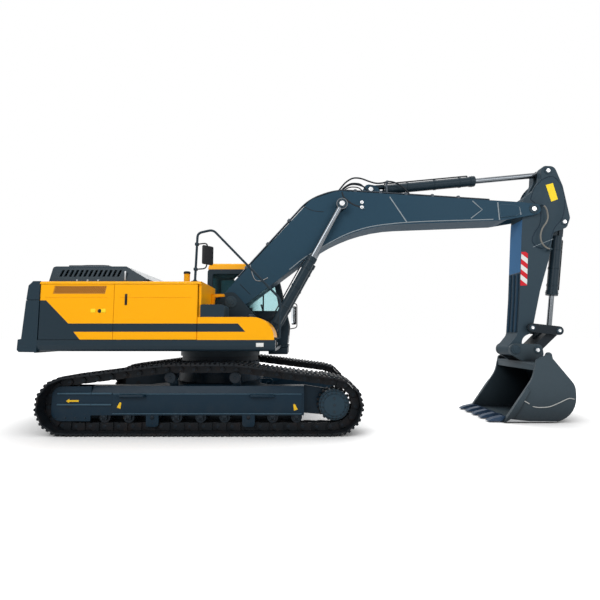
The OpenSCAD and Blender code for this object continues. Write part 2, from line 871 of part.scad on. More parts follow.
module engine_hood() {
    sheet = 28;
    axis = [-hood_front_x - 30, house_top_z + 40];
    step = (counterweight_x - hood_front_x - 570) / louvre_count;
    color(slate) difference() {
        hood_body(0);
        difference() {
            hood_body(sheet);
            both_sides()
                box([axis.x - 45, hood_w / 2 - 80, house_top_z], [axis.x + 60, hood_w / 2, house_top_z + 90]);
        }
        pin(axis, rod_r + running_gap, -hood_w, hood_w);
        both_sides()
            box([axis.x - 80, hood_w / 2 - 120, house_top_z], [axis.x + 61, hood_w / 2 - 80, axis.y + 40]);
        for (k = [0 : louvre_count - 1]) louvre(-counterweight_x + 160 + k * step, 0.52 * step);
    }
}

module louvre(x, wide) {
    low = house_top_z + 100;
    high = 110;
    lean = 35;
    plate([
        [x, low, 0], [x + wide, low, 0], [x + wide + lean, low + high, 0], [x + lean, low + high, 0]
    ], -hood_w, hood_w);
}

module engine() {
    half = 420;
    color(iron) box([-counterweight_x + 180, -half, deck_z], [124 - door_seam_x, half, cover_z - 60]);
}

module exhaust() {
    p = [-410, 540 - house_w / 2, house_top_z];
    high = 130;
    color(yellow) {
        translate(p) cylinder(r = exhaust_r, h = high);
        translate(p + [0, 0, high]) cylinder(r = exhaust_r + 4, h = 32);
    }
}

module handrail() {
    y = -house_w / 2 + 90;
    color(slate) tube([
        [-153, house_top_z + rail_r], [-131, rail_z - 95], [115, rail_z],
        [tank_x, 2110], [tank_x + 20 + rail_r, skirt_z + rail_r]
    ], y, rail_r);
}

module mirrors() {
    y = -house_w / 2 + 90;
    color(black) {
        plate([[0, 2590, 20], [50, 2590, 20], [66, 2900, 20], [16, 2900, 20]], y - 150, y + 60);
        straight_rod([-140.8 + rail_r + running_gap, y, 2740], [20, y, 2740], 10);
        translate([cab_front_x, cab_out_y, 0]) {
            plate([[94, 1760, 16], [134, 1760, 16], [146, 2060, 16], [106, 2060, 16]], -20, 90);
            straight_rod([-60, 10 + running_gap, 1640], [112, 35, 1790], 10);
        }
    }
}

// Side outline of the cab, drawn in X and Z
function cab_side(t) = [
    [-cab_back_x + t, deck_z + t, 40], [cab_front_x - 30 - t, deck_z + t, 40],
    [cab_front_x - t, deck_z + 400, 200], [cab_front_x - 238 - t, cab_eaves_z - 120, 200],
    [cab_front_x - 330 - t, cab_eaves_z - t, 60], [-cab_back_x + t, cab_eaves_z - t, 60]
];

// The door's outline; the opening in the wall is larger by the gap
function door_outline(g) = [
    [cab_hinge_x - g, deck_z + 120 - g, 0], [cab_front_x - 120 + g, deck_z + 120 - g, 60],
    [cab_front_x - 95 + g, deck_z + 420, 100], [cab_front_x - 300 + g, cab_eaves_z - 95 + g, 120],
    [cab_hinge_x - g, cab_eaves_z - 95 + g, 0]
];
function door_window(g) = [
    [cab_hinge_x + post_w - g, sill_z + 60 - g, 40], [cab_front_x - 180 + g, sill_z + 60 - g, 60],
    [cab_front_x - 370 + g, cab_eaves_z - 95 - post_w + g, 100],
    [cab_hinge_x + post_w - g, cab_eaves_z - 95 - post_w + g, 40]
];
function right_window(g) = [
    [-cab_back_x + post_w + 20 - g, sill_z - 60 - g, 40], [cab_front_x - 130 + g, sill_z - 60 - g, 60],
    [cab_front_x - 345 + g, window_top + g, 100], [-cab_back_x + post_w + 20 - g, window_top + g, 40]
];
function quarter_window(g) = [
    [-cab_back_x + post_w + 10 - g, sill_z + 60 - g, 40], [cab_hinge_x - post_w - 10 + g, sill_z + 60 - g, 40],
    [cab_hinge_x - post_w - 10 + g, window_top + g, 40], [-cab_back_x + post_w + 10 - g, window_top + g, 40]
];
function across_window(z0, z1, g) = [
    [cab_in_y + post_w - g, z0 - g, 40], [cab_out_y - post_w + g, z0 - g, 40],
    [cab_out_y - post_w + g, z1 + g, 40], [cab_in_y + post_w - g, z1 + g, 40]
];

module cab_frame() {
    color(slate) difference() {
        plate(cab_side(0), cab_in_y, cab_out_y);
        plate(cab_side(cab_t), cab_in_y + cab_t, cab_out_y - cab_t);
        plate(right_window(0), cab_in_y - 1, cab_in_y + cab_t + 1);
        plate(quarter_window(0), cab_out_y - cab_t - 1, cab_out_y + 1);
        plate(door_outline(door_gap), cab_out_y - cab_t - 1, cab_out_y + 1);
        along_x(-cab_back_x - 1, cab_t - cab_back_x + 1)
            polygon(rounded(across_window(sill_z + 100, window_top, 0)));
        along_x(cab_front_x - 500, cab_front_x + 1)
            polygon(rounded(across_window(screen_low_z, window_top, 0)));
        cab_hinge_rod();
    }
}

module cab_roof() {
    color(yellow) intersection() {
        plate([
            [-cab_back_x + 5, cab_eaves_z, 0], [cab_front_x - 330, cab_eaves_z, 0],
            [cab_front_x - 370, roof_z, 90], [-cab_back_x + 25, roof_z, 90]
        ], cab_in_y, cab_out_y);
        along_x(-big, big) polygon(rounded([
            [cab_in_y + 5, cab_eaves_z, 0], [cab_out_y - 5, cab_eaves_z, 0],
            [cab_out_y - 45, roof_z, 80], [cab_in_y + 45, roof_z, 80]
        ]));
    }
}

module cab_glass() {
    mid = (cab_t - glass_t) / 2;
    g = -running_gap;
    color(tint) {
        plate(right_window(g), cab_in_y + mid, cab_in_y + mid + glass_t);
        plate(quarter_window(g), cab_out_y - mid - glass_t, cab_out_y - mid);
        along_x(mid - cab_back_x, mid + glass_t - cab_back_x)
            polygon(rounded(across_window(sill_z + 100, window_top, g)));
        windscreen(mid, g);
    }
}

module windscreen(mid, g) {
    intersection() {
        difference() {
            plate(cab_side(mid), cab_in_y, cab_out_y);
            plate(cab_side(mid + glass_t), cab_in_y - 1, cab_out_y + 1);
        }
        along_x(cab_front_x - 500, cab_front_x + 1)
            polygon(rounded(across_window(screen_low_z, window_top, g)));
    }
}

module cab_door() {
    axis = [cab_hinge_x + cab_t / 2, cab_out_y - cab_t / 2];
    color(slate) difference() {
        union() {
            difference() {
                plate(door_outline(0), cab_out_y - cab_t, cab_out_y);
                box([cab_hinge_x - 1, cab_out_y - cab_t - 1, deck_z], [axis.x, cab_out_y + 1, cab_eaves_z]);
            }
            translate([axis.x, axis.y, deck_z + 120]) cylinder(r = cab_t / 2, h = cab_eaves_z - deck_z - 215);
        }
        plate(door_window(0), cab_out_y - cab_t - 1, cab_out_y + 1);
        translate([axis.x, axis.y, deck_z]) cylinder(r = rod_r + running_gap, h = cab_eaves_z - deck_z);
    }
}

module cab_door_glass() {
    mid = (cab_t - glass_t) / 2;
    color(tint) plate(door_window(-running_gap), cab_out_y - mid - glass_t, cab_out_y - mid);
}

module seat() {
    half = seat_w / 2;
    base = 0.36 * seat_w;
    low = floor_z + 280;
    top = floor_z + 380;
    color(black) translate([0, seat_y, 0]) {
        box([50, -base, floor_z], [400, base, low]);
        plate([[-20, low, 30], [480, low, 50], [480, top + 20, 60], [-20, top, 30]], -half, half);
        plate([[-60, top, 20], [90, top, 40], [-40, top + 580, 50], [-150, top + 580, 50]], -half, half);
    }
}

module consoles() {
    color(black) for (s = [-1, 1]) {
        translate([0, seat_y + s * console_y, floor_z]) console();
        translate([0, seat_y + s * pedal_y, floor_z]) pedal();
    }
}

module console() {
    half = console_w / 2;
    plate([[-40, 290, 20], [430, 400, 40], [430, 520, 40], [-40, 500, 30]], -half, half);
    straight_rod([380, 0, 515], [410, 0, 690], 18);
    box([20, -half, 0], [160, half, 330]);
}

module pedal() {
    half = 40;
    box([720, -half, 0], [800, half, half]);
    straight_rod([757, 0, half / 2], [660, 0, 560], 13);
}

module lamps() {
    half = 60;
    high = 90;
    color(chrome) {
        for (y = [cab_in_y + 150, cab_out_y - 150]) {
            box([cab_front_x - 480, y - half, roof_z], [cab_front_x - 420, y + half, roof_z + high]);
        }
        box([tank_x - 40, -tank_in - 120, deck_z], [tank_x + 10, -tank_in - 20, deck_z + high]);
    }
}

module boom() {
    half = boom_w / 2;
    fork_in = arm_w / 2 + side_gap;
    color(boom_blue) difference() {
        union() {
            plate(from_pin(foot, [
                [-160, -90, 140], [90, -170, 140], [2211, 1440, 3000], [boom_reach - 631, 1551, 200],
                [boom_reach - 60, boom_rise - 125, 100], [boom_reach + 130, boom_rise - 75, 80],
                [boom_reach + 130, boom_rise + 85, 80], [boom_reach - 200, boom_rise + 130, 120],
                [knee.x, knee.y, 600], [1480, 1955, 260], [-170, 130, 140]
            ]), -half, half);
            both_sides() pin(lift_eye, eye_r, half - 1, lift_y - eye_t / 2 - side_gap);
            both_sides() crowd_lug();
        }
        box([arm_pin.x - 500, -fork_in, arm_pin.y - big], [arm_pin.x + big, fork_in, arm_pin.y + big]);
        pin(foot, foot_pin_r + running_gap, -half - 1, half + 1);
    }
    color(boom_blue) {
        pin(arm_pin, arm_pin_r, -fork_in - 1, fork_in + 1);
        pin(crowd_base, crowd_pin_r, -crowd_lug_in - 1, crowd_lug_in + 1);
    }
}

module crowd_lug() {
    plate(from_pin(crowd_base, [
        [-250, -190, 0], [330, -225, 0], [110, 75, 90], [-90, 110, 100]
    ]), crowd_lug_in, crowd_lug_in + 45);
}

module boom_pipes() {
    end = boom_reach - 803;
    path = [[700, 1125], [1440, 1950], knee + [-5, 12], [end, boom_top(end) + 4]];
    rows = [140, 190];
    mid = (rows[0] + rows[1]) / 2;
    post = [2925, 2965];
    post_top = boom_top(post[1]) + 274;
    color(iron) both_sides() {
        for (y = rows) tube([for (p = path) foot + p + [0, pipe_r]], y, pipe_r);
        for (f = [0.12, 0.452, 0.795]) {
            pipe_clamp(knee.x + f * (end - knee.x), rows[0] - 2 * pipe_r, rows[1] + 2 * pipe_r);
        }
        tube([for (p = arch_hose) foot + p + [0, boom_top(p.x)]], mid, hose_r);
        plate(from_pin(foot, [
            [post[0], boom_top(post[0]) + running_gap, 0], [post[1], boom_top(post[1]) + running_gap, 0],
            [post[1], post_top, 8], [post[0], post_top, 8]
        ]), mid - 10, mid + 10);
    }
}

module pipe_clamp(x, y0, y1) {
    half = 30;
    plate(from_pin(foot, [
        [x - half, boom_top(x - half) + running_gap, 0], [x + half, boom_top(x + half) + running_gap, 0],
        [x + half, boom_top(x) + 45, 10], [x - half, boom_top(x) + 45, 10]
    ]), y0, y1);
}

module boom_barrels() {
    color(slate) both_sides() toward(lift_base, lift_eye, lift_y)
        barrel(lift_r, lift_len, lift_rod_r, lift_pin_r + running_gap, lift_r, eye_t, 240);
}

module boom_rods() {
    color(chrome) both_sides() toward(lift_base, lift_eye, lift_y)
        piston_rod(norm(lift_eye - lift_base), lift_len - 620, lift_rod_r, eye_r, eye_t);
}

module arm_barrel() {
    color(slate) toward(crowd_base, crowd_eye, 0)
        barrel(crowd_r, crowd_len, crowd_rod_r, crowd_pin_r + running_gap, crowd_r, eye_t, 270);
}

module arm_rod() {
    color(chrome) toward(crowd_base, crowd_eye, 0)
        piston_rod(norm(crowd_eye - crowd_base), crowd_len - 710, crowd_rod_r, eye_r, eye_t);
}

module arm() {
    half = arm_w / 2;
    slot = crowd_rod_r + side_gap;
    color(arm_grey) {
        difference() {
            plate(from_pin(arm_pin, [
                [-190, -120, 60], [-225, -480, 100], [-323, -1692, 0], [-395, -2380, 200], [-600, -2620, 120],
                [-540, -2770, 100], [-340, -2740, 115], [-310, -2420, 160], [-110, -2330, 85], [-85, -2170, 90],
                [70, -1550, 300], [265, -960, 300], [380, -440, 60], [640, -345, 95], [715, -160, 100],
                [610, 470, 300], [470, 860, 120], [225, 870, 90], [200, 600, 120], [70, 380, 200],
                [-155, 230, 100]
            ]), -half, half);
            box([arm_pin.x - 200, -slot, arm_pin.y + 420], [arm_pin.x + big, slot, arm_pin.y + big]);
            box([arm_pin.x + 440, -slot, arm_pin.y - 700], [arm_pin.x + big, slot, arm_pin.y - 60]);
            pin(arm_pin, arm_pin_r + running_gap, -half - 1, half + 1);
        }
        pin(curl_base, curl_pin_r, -slot - 1, slot + 1);
        both_sides() pin(guide_pin, link_pin_r, half - 1, guide_out);
        pin(bucket_pin, bucket_pin_r, -ear_out, ear_out);
    }
}

module arm_hose() {
    y = guide_in + 20;
    color(black) both_sides() {
        tube([for (p = side_hose) arm_pin + p], y, hose_r - 2);
        for (p = [side_hose[0], side_hose[len(side_hose) - 1]]) {
            pin(arm_pin + p, hose_r + 6, arm_w / 2 + running_gap, y + hose_r);
        }
    }
}

module bucket_barrel() {
    color(slate) toward(curl_base, link_joint, 0)
        barrel(curl_r, curl_len, curl_rod_r, curl_pin_r + running_gap, curl_r, eye_t, 240);
}

module bucket_rod() {
    color(chrome) toward(curl_base, link_joint, 0)
        piston_rod(norm(link_joint - curl_base), curl_len - 840, curl_rod_r, eye_r - 20, eye_t);
}

module guide_links() {
    round_r = 80;
    color(arm_grey) both_sides() {
        difference() {
            toward(guide_pin, link_joint, 0) plate([
                [-round_r, -round_r, round_r], [norm(link_joint - guide_pin) + round_r, -round_r, round_r],
                [norm(link_joint - guide_pin) + round_r, round_r, round_r], [-round_r, round_r, round_r]
            ], guide_in, guide_out);
            pin(guide_pin, link_pin_r + running_gap, guide_in - 1, guide_out + 1);
        }
        pin(link_joint, link_pin_r, link_arm_in, guide_in + 1);
    }
}

module bucket_link() {
    length = norm(ear_pin - link_joint);
    r = 76;
    out = guide_in - side_gap;
    half = ear_in - side_gap;
    color(arm_grey) difference() {
        union() {
            toward(link_joint, ear_pin, 0)
                plate([[-r, -r, r], [length + r, -r, r], [length + r, r, r], [-r, r, r]], -half, half);
            both_sides() pin(link_joint, r - 4, half - 1, out);
        }
        pin(link_joint, link_pin_r + running_gap, -out - 1, out + 1);
        toward(link_joint, ear_pin, 0) box([-2 * r, -link_arm_in, -2 * r], [length * 0.6, link_arm_in, 2 * r]);
    }
}

// Side outline of the bucket, from its pin
function bucket_side() = from_pin(bucket_pin, [
    [-lip_x, -bucket_low, 0], [bucket_back, -bucket_low, bucket_round],
    [bucket_back, -bucket_heel, bucket_heel_r], [346, -62, 50], [129, -161, 30],
    [bucket_brow.x, -bucket_brow.y, 500]
]);
function bucket_hollow() = from_pin(bucket_pin, [
    [-big, wrapper_t - bucket_low, 0],
    [bucket_back - wrapper_t, wrapper_t - bucket_low, bucket_round - wrapper_t],
    [bucket_back - wrapper_t, -bucket_heel, bucket_heel_r - wrapper_t], [495, -255, 60], [-big, -255, 0]
]);

module bucket() {
    half = bucket_w / 2;
    inner = half - bucket_side_t;
    color(arm_grey) {
        difference() {
            plate(bucket_side(), -half, half);
            plate(bucket_hollow(), -inner, inner);
            translate([bucket_pin.x, 0, bucket_pin.y]) box([-big, -inner, -215], [big, inner, big]);
        }
        both_sides() bucket_ear();
    }
}

module bucket_ear() {
    difference() {
        plate(from_pin(bucket_pin, [
            [-112, -70, 100], [150, -230, 0], [440, -230, 0], [510, -90, 90], [490, 95, 95], [-112, 112, 110]
        ]), ear_in, ear_out);
        pin(bucket_pin, bucket_pin_r + running_gap, ear_in - 1, ear_out + 1);
    }
}

module bucket_teeth() {
    reach = bucket_w - 2 * bucket_side_t - tooth_w - 2 * side_gap;
    top = wrapper_t + running_gap;
    slope = (bucket_brow.x + lip_x) / (bucket_low - bucket_brow.y);
    color(iron) for (k = [0 : tooth_count - 1]) {
        y = (k / (tooth_count - 1) - 0.5) * reach;
        plate(from_pin(bucket_pin - [lip_x + running_gap, bucket_low], [
            [-tooth_len, 0, 8], [0, 0, 0], [top * slope, top, 0], [190, top, 0], [150, top + 26, 12],
            [20, top + 58, 30], [-150, top + 20, 60]
        ]), y - tooth_w / 2, y + tooth_w / 2);
    }
}

translate([slew_x, 0, 0]) {
    car_body();
    track_frames();
    track_left();
    track_right();
    idlers();
    sprockets();
    final_drives();
    rollers();
    slew_ring();
    revolving_frame();
    counterweight();
    side_skirts();
    fuel_tank();
    step_box();
    bay_walls();
    deck_covers();
    hinge_rods();
    engine();
    exhaust();
    handrail();
    mirrors();
    cab_frame();
    cab_roof();
    cab_glass();
    seat();
    consoles();
    lamps();
    right_rear_door();
    right_front_door();
    left_rear_door();
    left_front_door();
    engine_hood();
    cab_door();
    cab_door_glass();
    boom();
    boom_pipes();
    boom_barrels();
    boom_rods();
    arm_barrel();
    arm_rod();
    arm();
    bucket_barrel();
    bucket_rod();
    guide_links();
    bucket_link();
    bucket();
    bucket_teeth();
    right_grille();
    left_grille();
    arm_hose();
}
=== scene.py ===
import math

import bmesh
import bpy
from mathutils import Matrix, Vector


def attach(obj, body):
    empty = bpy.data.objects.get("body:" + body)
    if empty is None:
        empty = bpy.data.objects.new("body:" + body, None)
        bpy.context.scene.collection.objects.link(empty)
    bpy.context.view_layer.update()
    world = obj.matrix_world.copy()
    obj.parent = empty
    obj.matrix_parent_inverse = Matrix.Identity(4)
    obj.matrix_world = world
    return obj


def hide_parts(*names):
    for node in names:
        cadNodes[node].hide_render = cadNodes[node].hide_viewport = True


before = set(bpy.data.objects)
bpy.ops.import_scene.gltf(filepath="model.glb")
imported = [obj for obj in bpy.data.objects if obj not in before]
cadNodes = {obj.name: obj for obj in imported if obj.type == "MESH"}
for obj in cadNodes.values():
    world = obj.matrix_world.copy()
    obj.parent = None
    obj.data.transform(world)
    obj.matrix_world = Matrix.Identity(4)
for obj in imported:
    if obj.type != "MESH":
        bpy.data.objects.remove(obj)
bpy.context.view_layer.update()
scene = bpy.context.scene
slewX = -1.745  # the slew axis in the frame
bothSides = (-1, 1)  # right, then left


def spot(x, y, z):  # metres from the slew axis
    return Vector((x + slewX, y, z))


def at(x, y, z):  # puts a part there
    return Matrix.Translation(spot(x, y, z))


def shift(x, y, z):
    return Matrix.Translation((x, y, z))


def route(points, y):  # x and z of each point, all at one y
    return [spot(x, y, z) for x, z in points]


# camera at the place the photo was taken from
view = {"lens": 23.82, "sensor": 36, "place": (-0.245, -7.6, 1.5), "tilt": 95, "far": 300}


def makeCamera():
    data = bpy.data.cameras.new("photoCamera")
    data.lens = view["lens"]
    data.sensor_width = view["sensor"]
    data.clip_end = view["far"]
    camera = bpy.data.objects.new("photoCamera", data)
    camera.location = view["place"]
    camera.rotation_euler = (math.radians(view["tilt"]), 0, 0)
    scene.collection.objects.link(camera)
    scene.camera = camera


makeCamera()
print("camera ready")


# shader helpers
def rgb(r, g, b):  # screen colour, 0 to 255
    def one(v):
        v /= 255
        return v / 12.92 if v <= 0.04045 else ((v + 0.055) / 1.055) ** 2.4

    return (one(r), one(g), one(b), 1)


def feed(tree, made, inputs):  # links sockets and sets plain values
    for key, value in inputs.items():
        if isinstance(value, bpy.types.NodeSocket):
            tree.links.new(value, made.inputs[key])
        else:
            made.inputs[key].default_value = value


def addNode(tree, kind, inputs=None, **settings):
    made = tree.nodes.new(kind)
    for key, value in settings.items():
        setattr(made, key, value)
    feed(tree, made, inputs or {})
    return made


def calc(tree, operation, a, b=0.0, clamp=False):
    return addNode(tree, "ShaderNodeMath", {0: a, 1: b}, operation=operation, use_clamp=clamp).outputs[0]


def times(tree, a, b, clamp=False):
    return calc(tree, "MULTIPLY", a, b, clamp)


def plus(tree, a, b, clamp=False):
    return calc(tree, "ADD", a, b, clamp)


def opposite(tree, a):
    return calc(tree, "SUBTRACT", 1.0, a)


def blendColour(tree, factor, a, b):
    return addNode(tree, "ShaderNodeMix", {0: factor, 6: a, 7: b}, data_type="RGBA").outputs[2]


def fade(tree, value, low, high):
    inputs = {"Value": value, "From Min": low, "From Max": high}
    return addNode(tree, "ShaderNodeMapRange", inputs, interpolation_type="SMOOTHSTEP").outputs[0]


def spread(tree, value, low, high):
    return addNode(tree, "ShaderNodeMapRange", {"Value": value, "To Min": low, "To Max": high}).outputs[0]


def cloud(tree, where, scale, detail=3.0, rough=0.55):
    inputs = {"Vector": where, "Scale": scale, "Detail": detail, "Roughness": rough}
    return addNode(tree, "ShaderNodeTexNoise", inputs).outputs[0]


def axesOf(tree, where):
    return addNode(tree, "ShaderNodeSeparateXYZ", {0: where}).outputs


def faceNormal(tree):
    return tree.nodes.new("ShaderNodeNewGeometry").outputs["Normal"]


def daylight(tree, reach, samples):  # less of it in hollows
    return addNode(tree, "ShaderNodeAmbientOcclusion", {"Distance": reach}, samples=samples).outputs["AO"]


def relief(tree, height, normal, strength, distance=0.002):
    inputs = {"Strength": strength, "Distance": distance, "Height": height, "Normal": normal}
    return addNode(tree, "ShaderNodeBump", inputs).outputs[0]


def makeGroup(name, inputs, outputs, build):
    tree = bpy.data.node_groups.new(name, "ShaderNodeTree")
    for title, kind, value in inputs:
        socket = tree.interface.new_socket(title, in_out="INPUT", socket_type=kind)
        if value is not None:
            socket.default_value = value
    for title, kind in outputs:
        tree.interface.new_socket(title, in_out="OUTPUT", socket_type=kind)
    given = tree.nodes.new("NodeGroupInput").outputs
    made = build(tree, given)
    feed(tree, tree.nodes.new("NodeGroupOutput"), made)
    return tree


def useGroup(tree, group, **inputs):
    return addNode(tree, "ShaderNodeGroup", inputs, node_tree=group).outputs


number, vector, colour = "NodeSocketFloat", "NodeSocketVector", "NodeSocketColor"


def buildPaintFilm(tree, given):
    where = given["Vector"]
    broad, fine, peel = cloud(tree, where, 0.9, 2), cloud(tree, where, 14, 4), cloud(tree, where, 260, 2)
    light = plus(tree, spread(tree, broad, -0.5, 0.5), spread(tree, fine, -0.25, 0.25))
    light = plus(tree, times(tree, light, given["Spread"]), 1.0)
    tone = addNode(tree, "ShaderNodeHueSaturation", {"Value": light, "Color": given["Colour"]}).outputs[0]
    rough = plus(tree, given["Roughness"], spread(tree, fine, -0.09, 0.09))
    return {"Colour": tone, "Roughness": rough, "Height": peel}


def buildEdgeWear(tree, given):
    rounded = addNode(tree, "ShaderNodeBevel", {"Radius": given["Radius"]}, samples=4).outputs[0]
    both = {0: rounded, 1: faceNormal(tree)}
    turn = addNode(tree, "ShaderNodeVectorMath", both, operation="DOT_PRODUCT").outputs["Value"]
    edge = fade(tree, opposite(tree, turn), 0.03, 0.2)
    chips = fade(tree, cloud(tree, given["Vector"], 38, 5, 0.7), 0.46, 0.66)
    return {"Normal": rounded, "Mask": times(tree, times(tree, edge, chips), given["Amount"], True)}


def buildGroundDust(tree, given):
    where = given["Vector"]
    upward = fade(tree, axesOf(tree, faceNormal(tree))[2], 0.3, 1.0)
    low = opposite(tree, fade(tree, axesOf(tree, where)[2], 0.0, given["Top"]))
    drift = fade(tree, cloud(tree, where, 5, 6, 0.65), 0.38, 0.75)
    total = plus(tree, times(tree, low, drift), times(tree, upward, times(tree, drift, 0.35)))
    return {"Mask": times(tree, total, given["Amount"], True)}


def buildScratches(tree, given):
    stretched = {"Vector": given["Vector"], "Scale": given["Stretch"]}
    lines = cloud(tree, addNode(tree, "ShaderNodeMapping", stretched).outputs[0], 60, 3, 0.6)
    return {"Mask": fade(tree, lines, 0.56, 0.72), "Height": lines}


paintFilm = makeGroup(
    "paintFilm",
    [("Vector", vector, None), ("Colour", colour, None), ("Roughness", number, 0.35),
     ("Spread", number, 0.1)],
    [("Colour", colour), ("Roughness", number), ("Height", number)],
    buildPaintFilm,
)
edgeWear = makeGroup(
    "edgeWear",
    [("Vector", vector, None), ("Radius", number, 0.006), ("Amount", number, 0.5)],
    [("Normal", vector), ("Mask", number)],
    buildEdgeWear,
)
groundDust = makeGroup(
    "groundDust",
    [("Vector", vector, None), ("Top", number, 0.8), ("Amount", number, 0.4)],
    [("Mask", number)],
    buildGroundDust,
)
scratches = makeGroup(
    "scratches",
    [("Vector", vector, None), ("Stretch", vector, (1, 1, 1))],
    [("Mask", number), ("Height", number)],
    buildScratches,
)


def newMaterial(name):
    material = bpy.data.materials.new(name)
    material.use_nodes = True
    tree = material.node_tree
    where = tree.nodes.new("ShaderNodeTexCoord").outputs["Object"]
    return material, tree, tree.nodes["Principled BSDF"], where


dustTint = rgb(132, 122, 106)
rustTint = rgb(92, 62, 42)


def painted(name, tint, rough, vary, wear, wornTint, dust, dustTop=0.9, mask=None, second=None, coat=0.04,
            bump=0.05, shine=0.14, hollowShade=None):
    material, tree, shader, where = newMaterial(name)
    base = tint
    if mask:
        base = blendColour(tree, useGroup(tree, mask, Vector=where)["Mask"], tint, second)
    film = useGroup(tree, paintFilm, Vector=where, Colour=base, Roughness=rough, Spread=vary)
    edges = useGroup(tree, edgeWear, Vector=where, Radius=0.006, Amount=wear)
    grime = useGroup(tree, groundDust, Vector=where, Top=dustTop, Amount=dust)["Mask"]
    top = blendColour(tree, grime, blendColour(tree, edges["Mask"], film["Colour"], wornTint), dustTint)
    # painted shade: the colour darkens deep inside, where the hollow hides the light
    if hollowShade:  # darker deep inside
        top = blendColour(tree, fade(tree, daylight(tree, 0.9, 6), 0.3, 0.95), hollowShade, top)
    feed(tree, shader, {
        "Base Color": top, "Roughness": plus(tree, film["Roughness"], times(tree, grime, 0.4), True),
        "Coat Weight": coat, "Coat Roughness": 0.16, "Specular IOR Level": shine,
        "Normal": relief(tree, film["Height"], edges["Normal"], bump),
    })
    return material


def bareMetal(name, tint, rough, stretch=(1, 1, 1), metallic=1.0, rust=0.0, bump=0.1, edge=0.0,
              edgeTint=rgb(170, 168, 162), shine=0.5):
    material, tree, shader, where = newMaterial(name)
    lines = useGroup(tree, scratches, Vector=where, Stretch=stretch)
    film = useGroup(tree, paintFilm, Vector=where, Colour=tint, Roughness=rough, Spread=0.18)
    edges = useGroup(tree, edgeWear, Vector=where, Radius=0.004, Amount=edge)
    stain = times(tree, fade(tree, cloud(tree, where, 7, 6, 0.7), 0.45, 0.7), rust)
    base = blendColour(tree, stain, film["Colour"], rustTint)
    roughness = plus(tree, film["Roughness"], times(tree, lines["Mask"], 0.12))
    feed(tree, shader, {
        "Base Color": blendColour(tree, edges["Mask"], base, edgeTint),
        "Roughness": plus(tree, roughness, times(tree, stain, 0.35), True),
        "Metallic": metallic, "Specular IOR Level": shine,
        "Normal": relief(tree, lines["Height"], edges["Normal"], bump),
    })
    return material


def moulded(name, tint, rough, grain=420, bump=0.25):
    material, tree, shader, where = newMaterial(name)
    film = useGroup(tree, paintFilm, Vector=where, Colour=tint, Roughness=rough, Spread=0.12)
    edges = useGroup(tree, edgeWear, Vector=where, Radius=0.004, Amount=0.15)
    cells = addNode(tree, "ShaderNodeTexVoronoi", {"Vector": where, "Scale": grain}).outputs["Distance"]
    feed(tree, shader, {
        "Base Color": blendColour(tree, edges["Mask"], film["Colour"], rgb(110, 110, 112)),
        "Roughness": film["Roughness"], "Specular IOR Level": 0.2,
        "Normal": relief(tree, cells, edges["Normal"], bump, 0.001),
    })
    return material


def glassOf(name, tint, clear, rough=0.02, shade=None):
    material, tree, shader, where = newMaterial(name)
    smear = cloud(tree, where, 3, 5, 0.6)
    base = blendColour(tree, fade(tree, smear, 0.5, 0.8), tint, rgb(232, 242, 244))
    if shade:  # darker behind the operator
        front, back, dark = shade
        ahead = fade(tree, axesOf(tree, where)[0], slewX + back, slewX + front)
        base = blendColour(tree, opposite(tree, ahead), base, dark)
    feed(tree, shader, {
        "Base Color": base, "Roughness": spread(tree, smear, rough, rough + 0.08),
        "Transmission Weight": clear, "IOR": 1.12,
    })
    return material


# the dark flash along the house: a wedge behind, a stripe forward; each slanted end has x and slope
flash = {"top": 1.672, "low": 1.545, "wedgeTop": 2.03, "tip": (0.547, 0.9), "wedge": (-2.423, 1.006),
         "foot": (-1.976, 0.84)}


def buildFlash(tree, given):
    axes = axesOf(tree, given["Vector"])
    x, z = calc(tree, "SUBTRACT", axes[0], slewX), axes[2]
    top, low, wedgeTop = flash["top"], flash["low"], flash["wedgeTop"]

    def above(level):
        return calc(tree, "GREATER_THAN", z, level)

    def behind(end, level):  # true behind a slanted end that starts at this level
        line = plus(tree, times(tree, calc(tree, "SUBTRACT", level, z), end[1]), end[0])
        return calc(tree, "LESS_THAN", x, line)

    stripe = times(tree, times(tree, above(low), opposite(tree, above(top))), behind(flash["tip"], top))
    wedge = times(tree, above(top), opposite(tree, above(wedgeTop)))
    wedge = times(tree, wedge, behind(flash["wedge"], wedgeTop))
    foot = times(tree, opposite(tree, above(low)), behind(flash["foot"], low))
    return {"Mask": plus(tree, plus(tree, stripe, wedge), foot, True)}


flashMask = makeGroup("flashMask", [("Vector", vector, None)], [("Mask", number)], buildFlash)

# paints: colour, roughness, spread of tone, edge wear and its colour, dust
yellowTint, slateTint, yellowWorn = rgb(252, 174, 4), rgb(30, 46, 56), rgb(205, 150, 40)
yellowPaint = painted("yellowPaint", yellowTint, 0.32, 0.05, 0.12, yellowWorn, 0.04)
sidePaint = painted("sidePaint", yellowTint, 0.32, 0.05, 0.12, yellowWorn, 0.04, mask=flashMask,
                    second=slateTint)
slatePaint = painted("slatePaint", slateTint, 0.4, 0.12, 0.3, rgb(96, 104, 110), 0.08)
castPaint = painted("castPaint", rgb(30, 48, 59), 0.46, 0.14, 0.25, rgb(92, 102, 110), 0.05, bump=0.18)
framePaint = painted("framePaint", rgb(10, 35, 50), 0.45, 0.16, 0.4, rgb(84, 96, 104), 0.05, dustTop=0.7)
drivePaint = painted("drivePaint", rgb(34, 54, 66), 0.5, 0.12, 0.3, rgb(104, 116, 124), 0.03)
dull = {"coat": 0.02, "shine": 0.05}
boomPaint = painted("boomPaint", rgb(44, 70, 87), 0.48, 0.1, 0.3, rgb(118, 128, 134), 0.02, **dull)
armPaint = painted("armPaint", rgb(54, 69, 79), 0.48, 0.12, 0.35, rgb(128, 134, 138), 0.02, **dull)
matt = {"coat": 0, "shine": 0.02}
# the arm's front plate is painted with the sky's reflection, and its ribs are lighter as a painted highlight
armSkyReflection = painted("armSkyReflection", rgb(70, 112, 154), 0.6, 0.08, 0.15, rgb(118, 134, 148), 0.02, **matt)
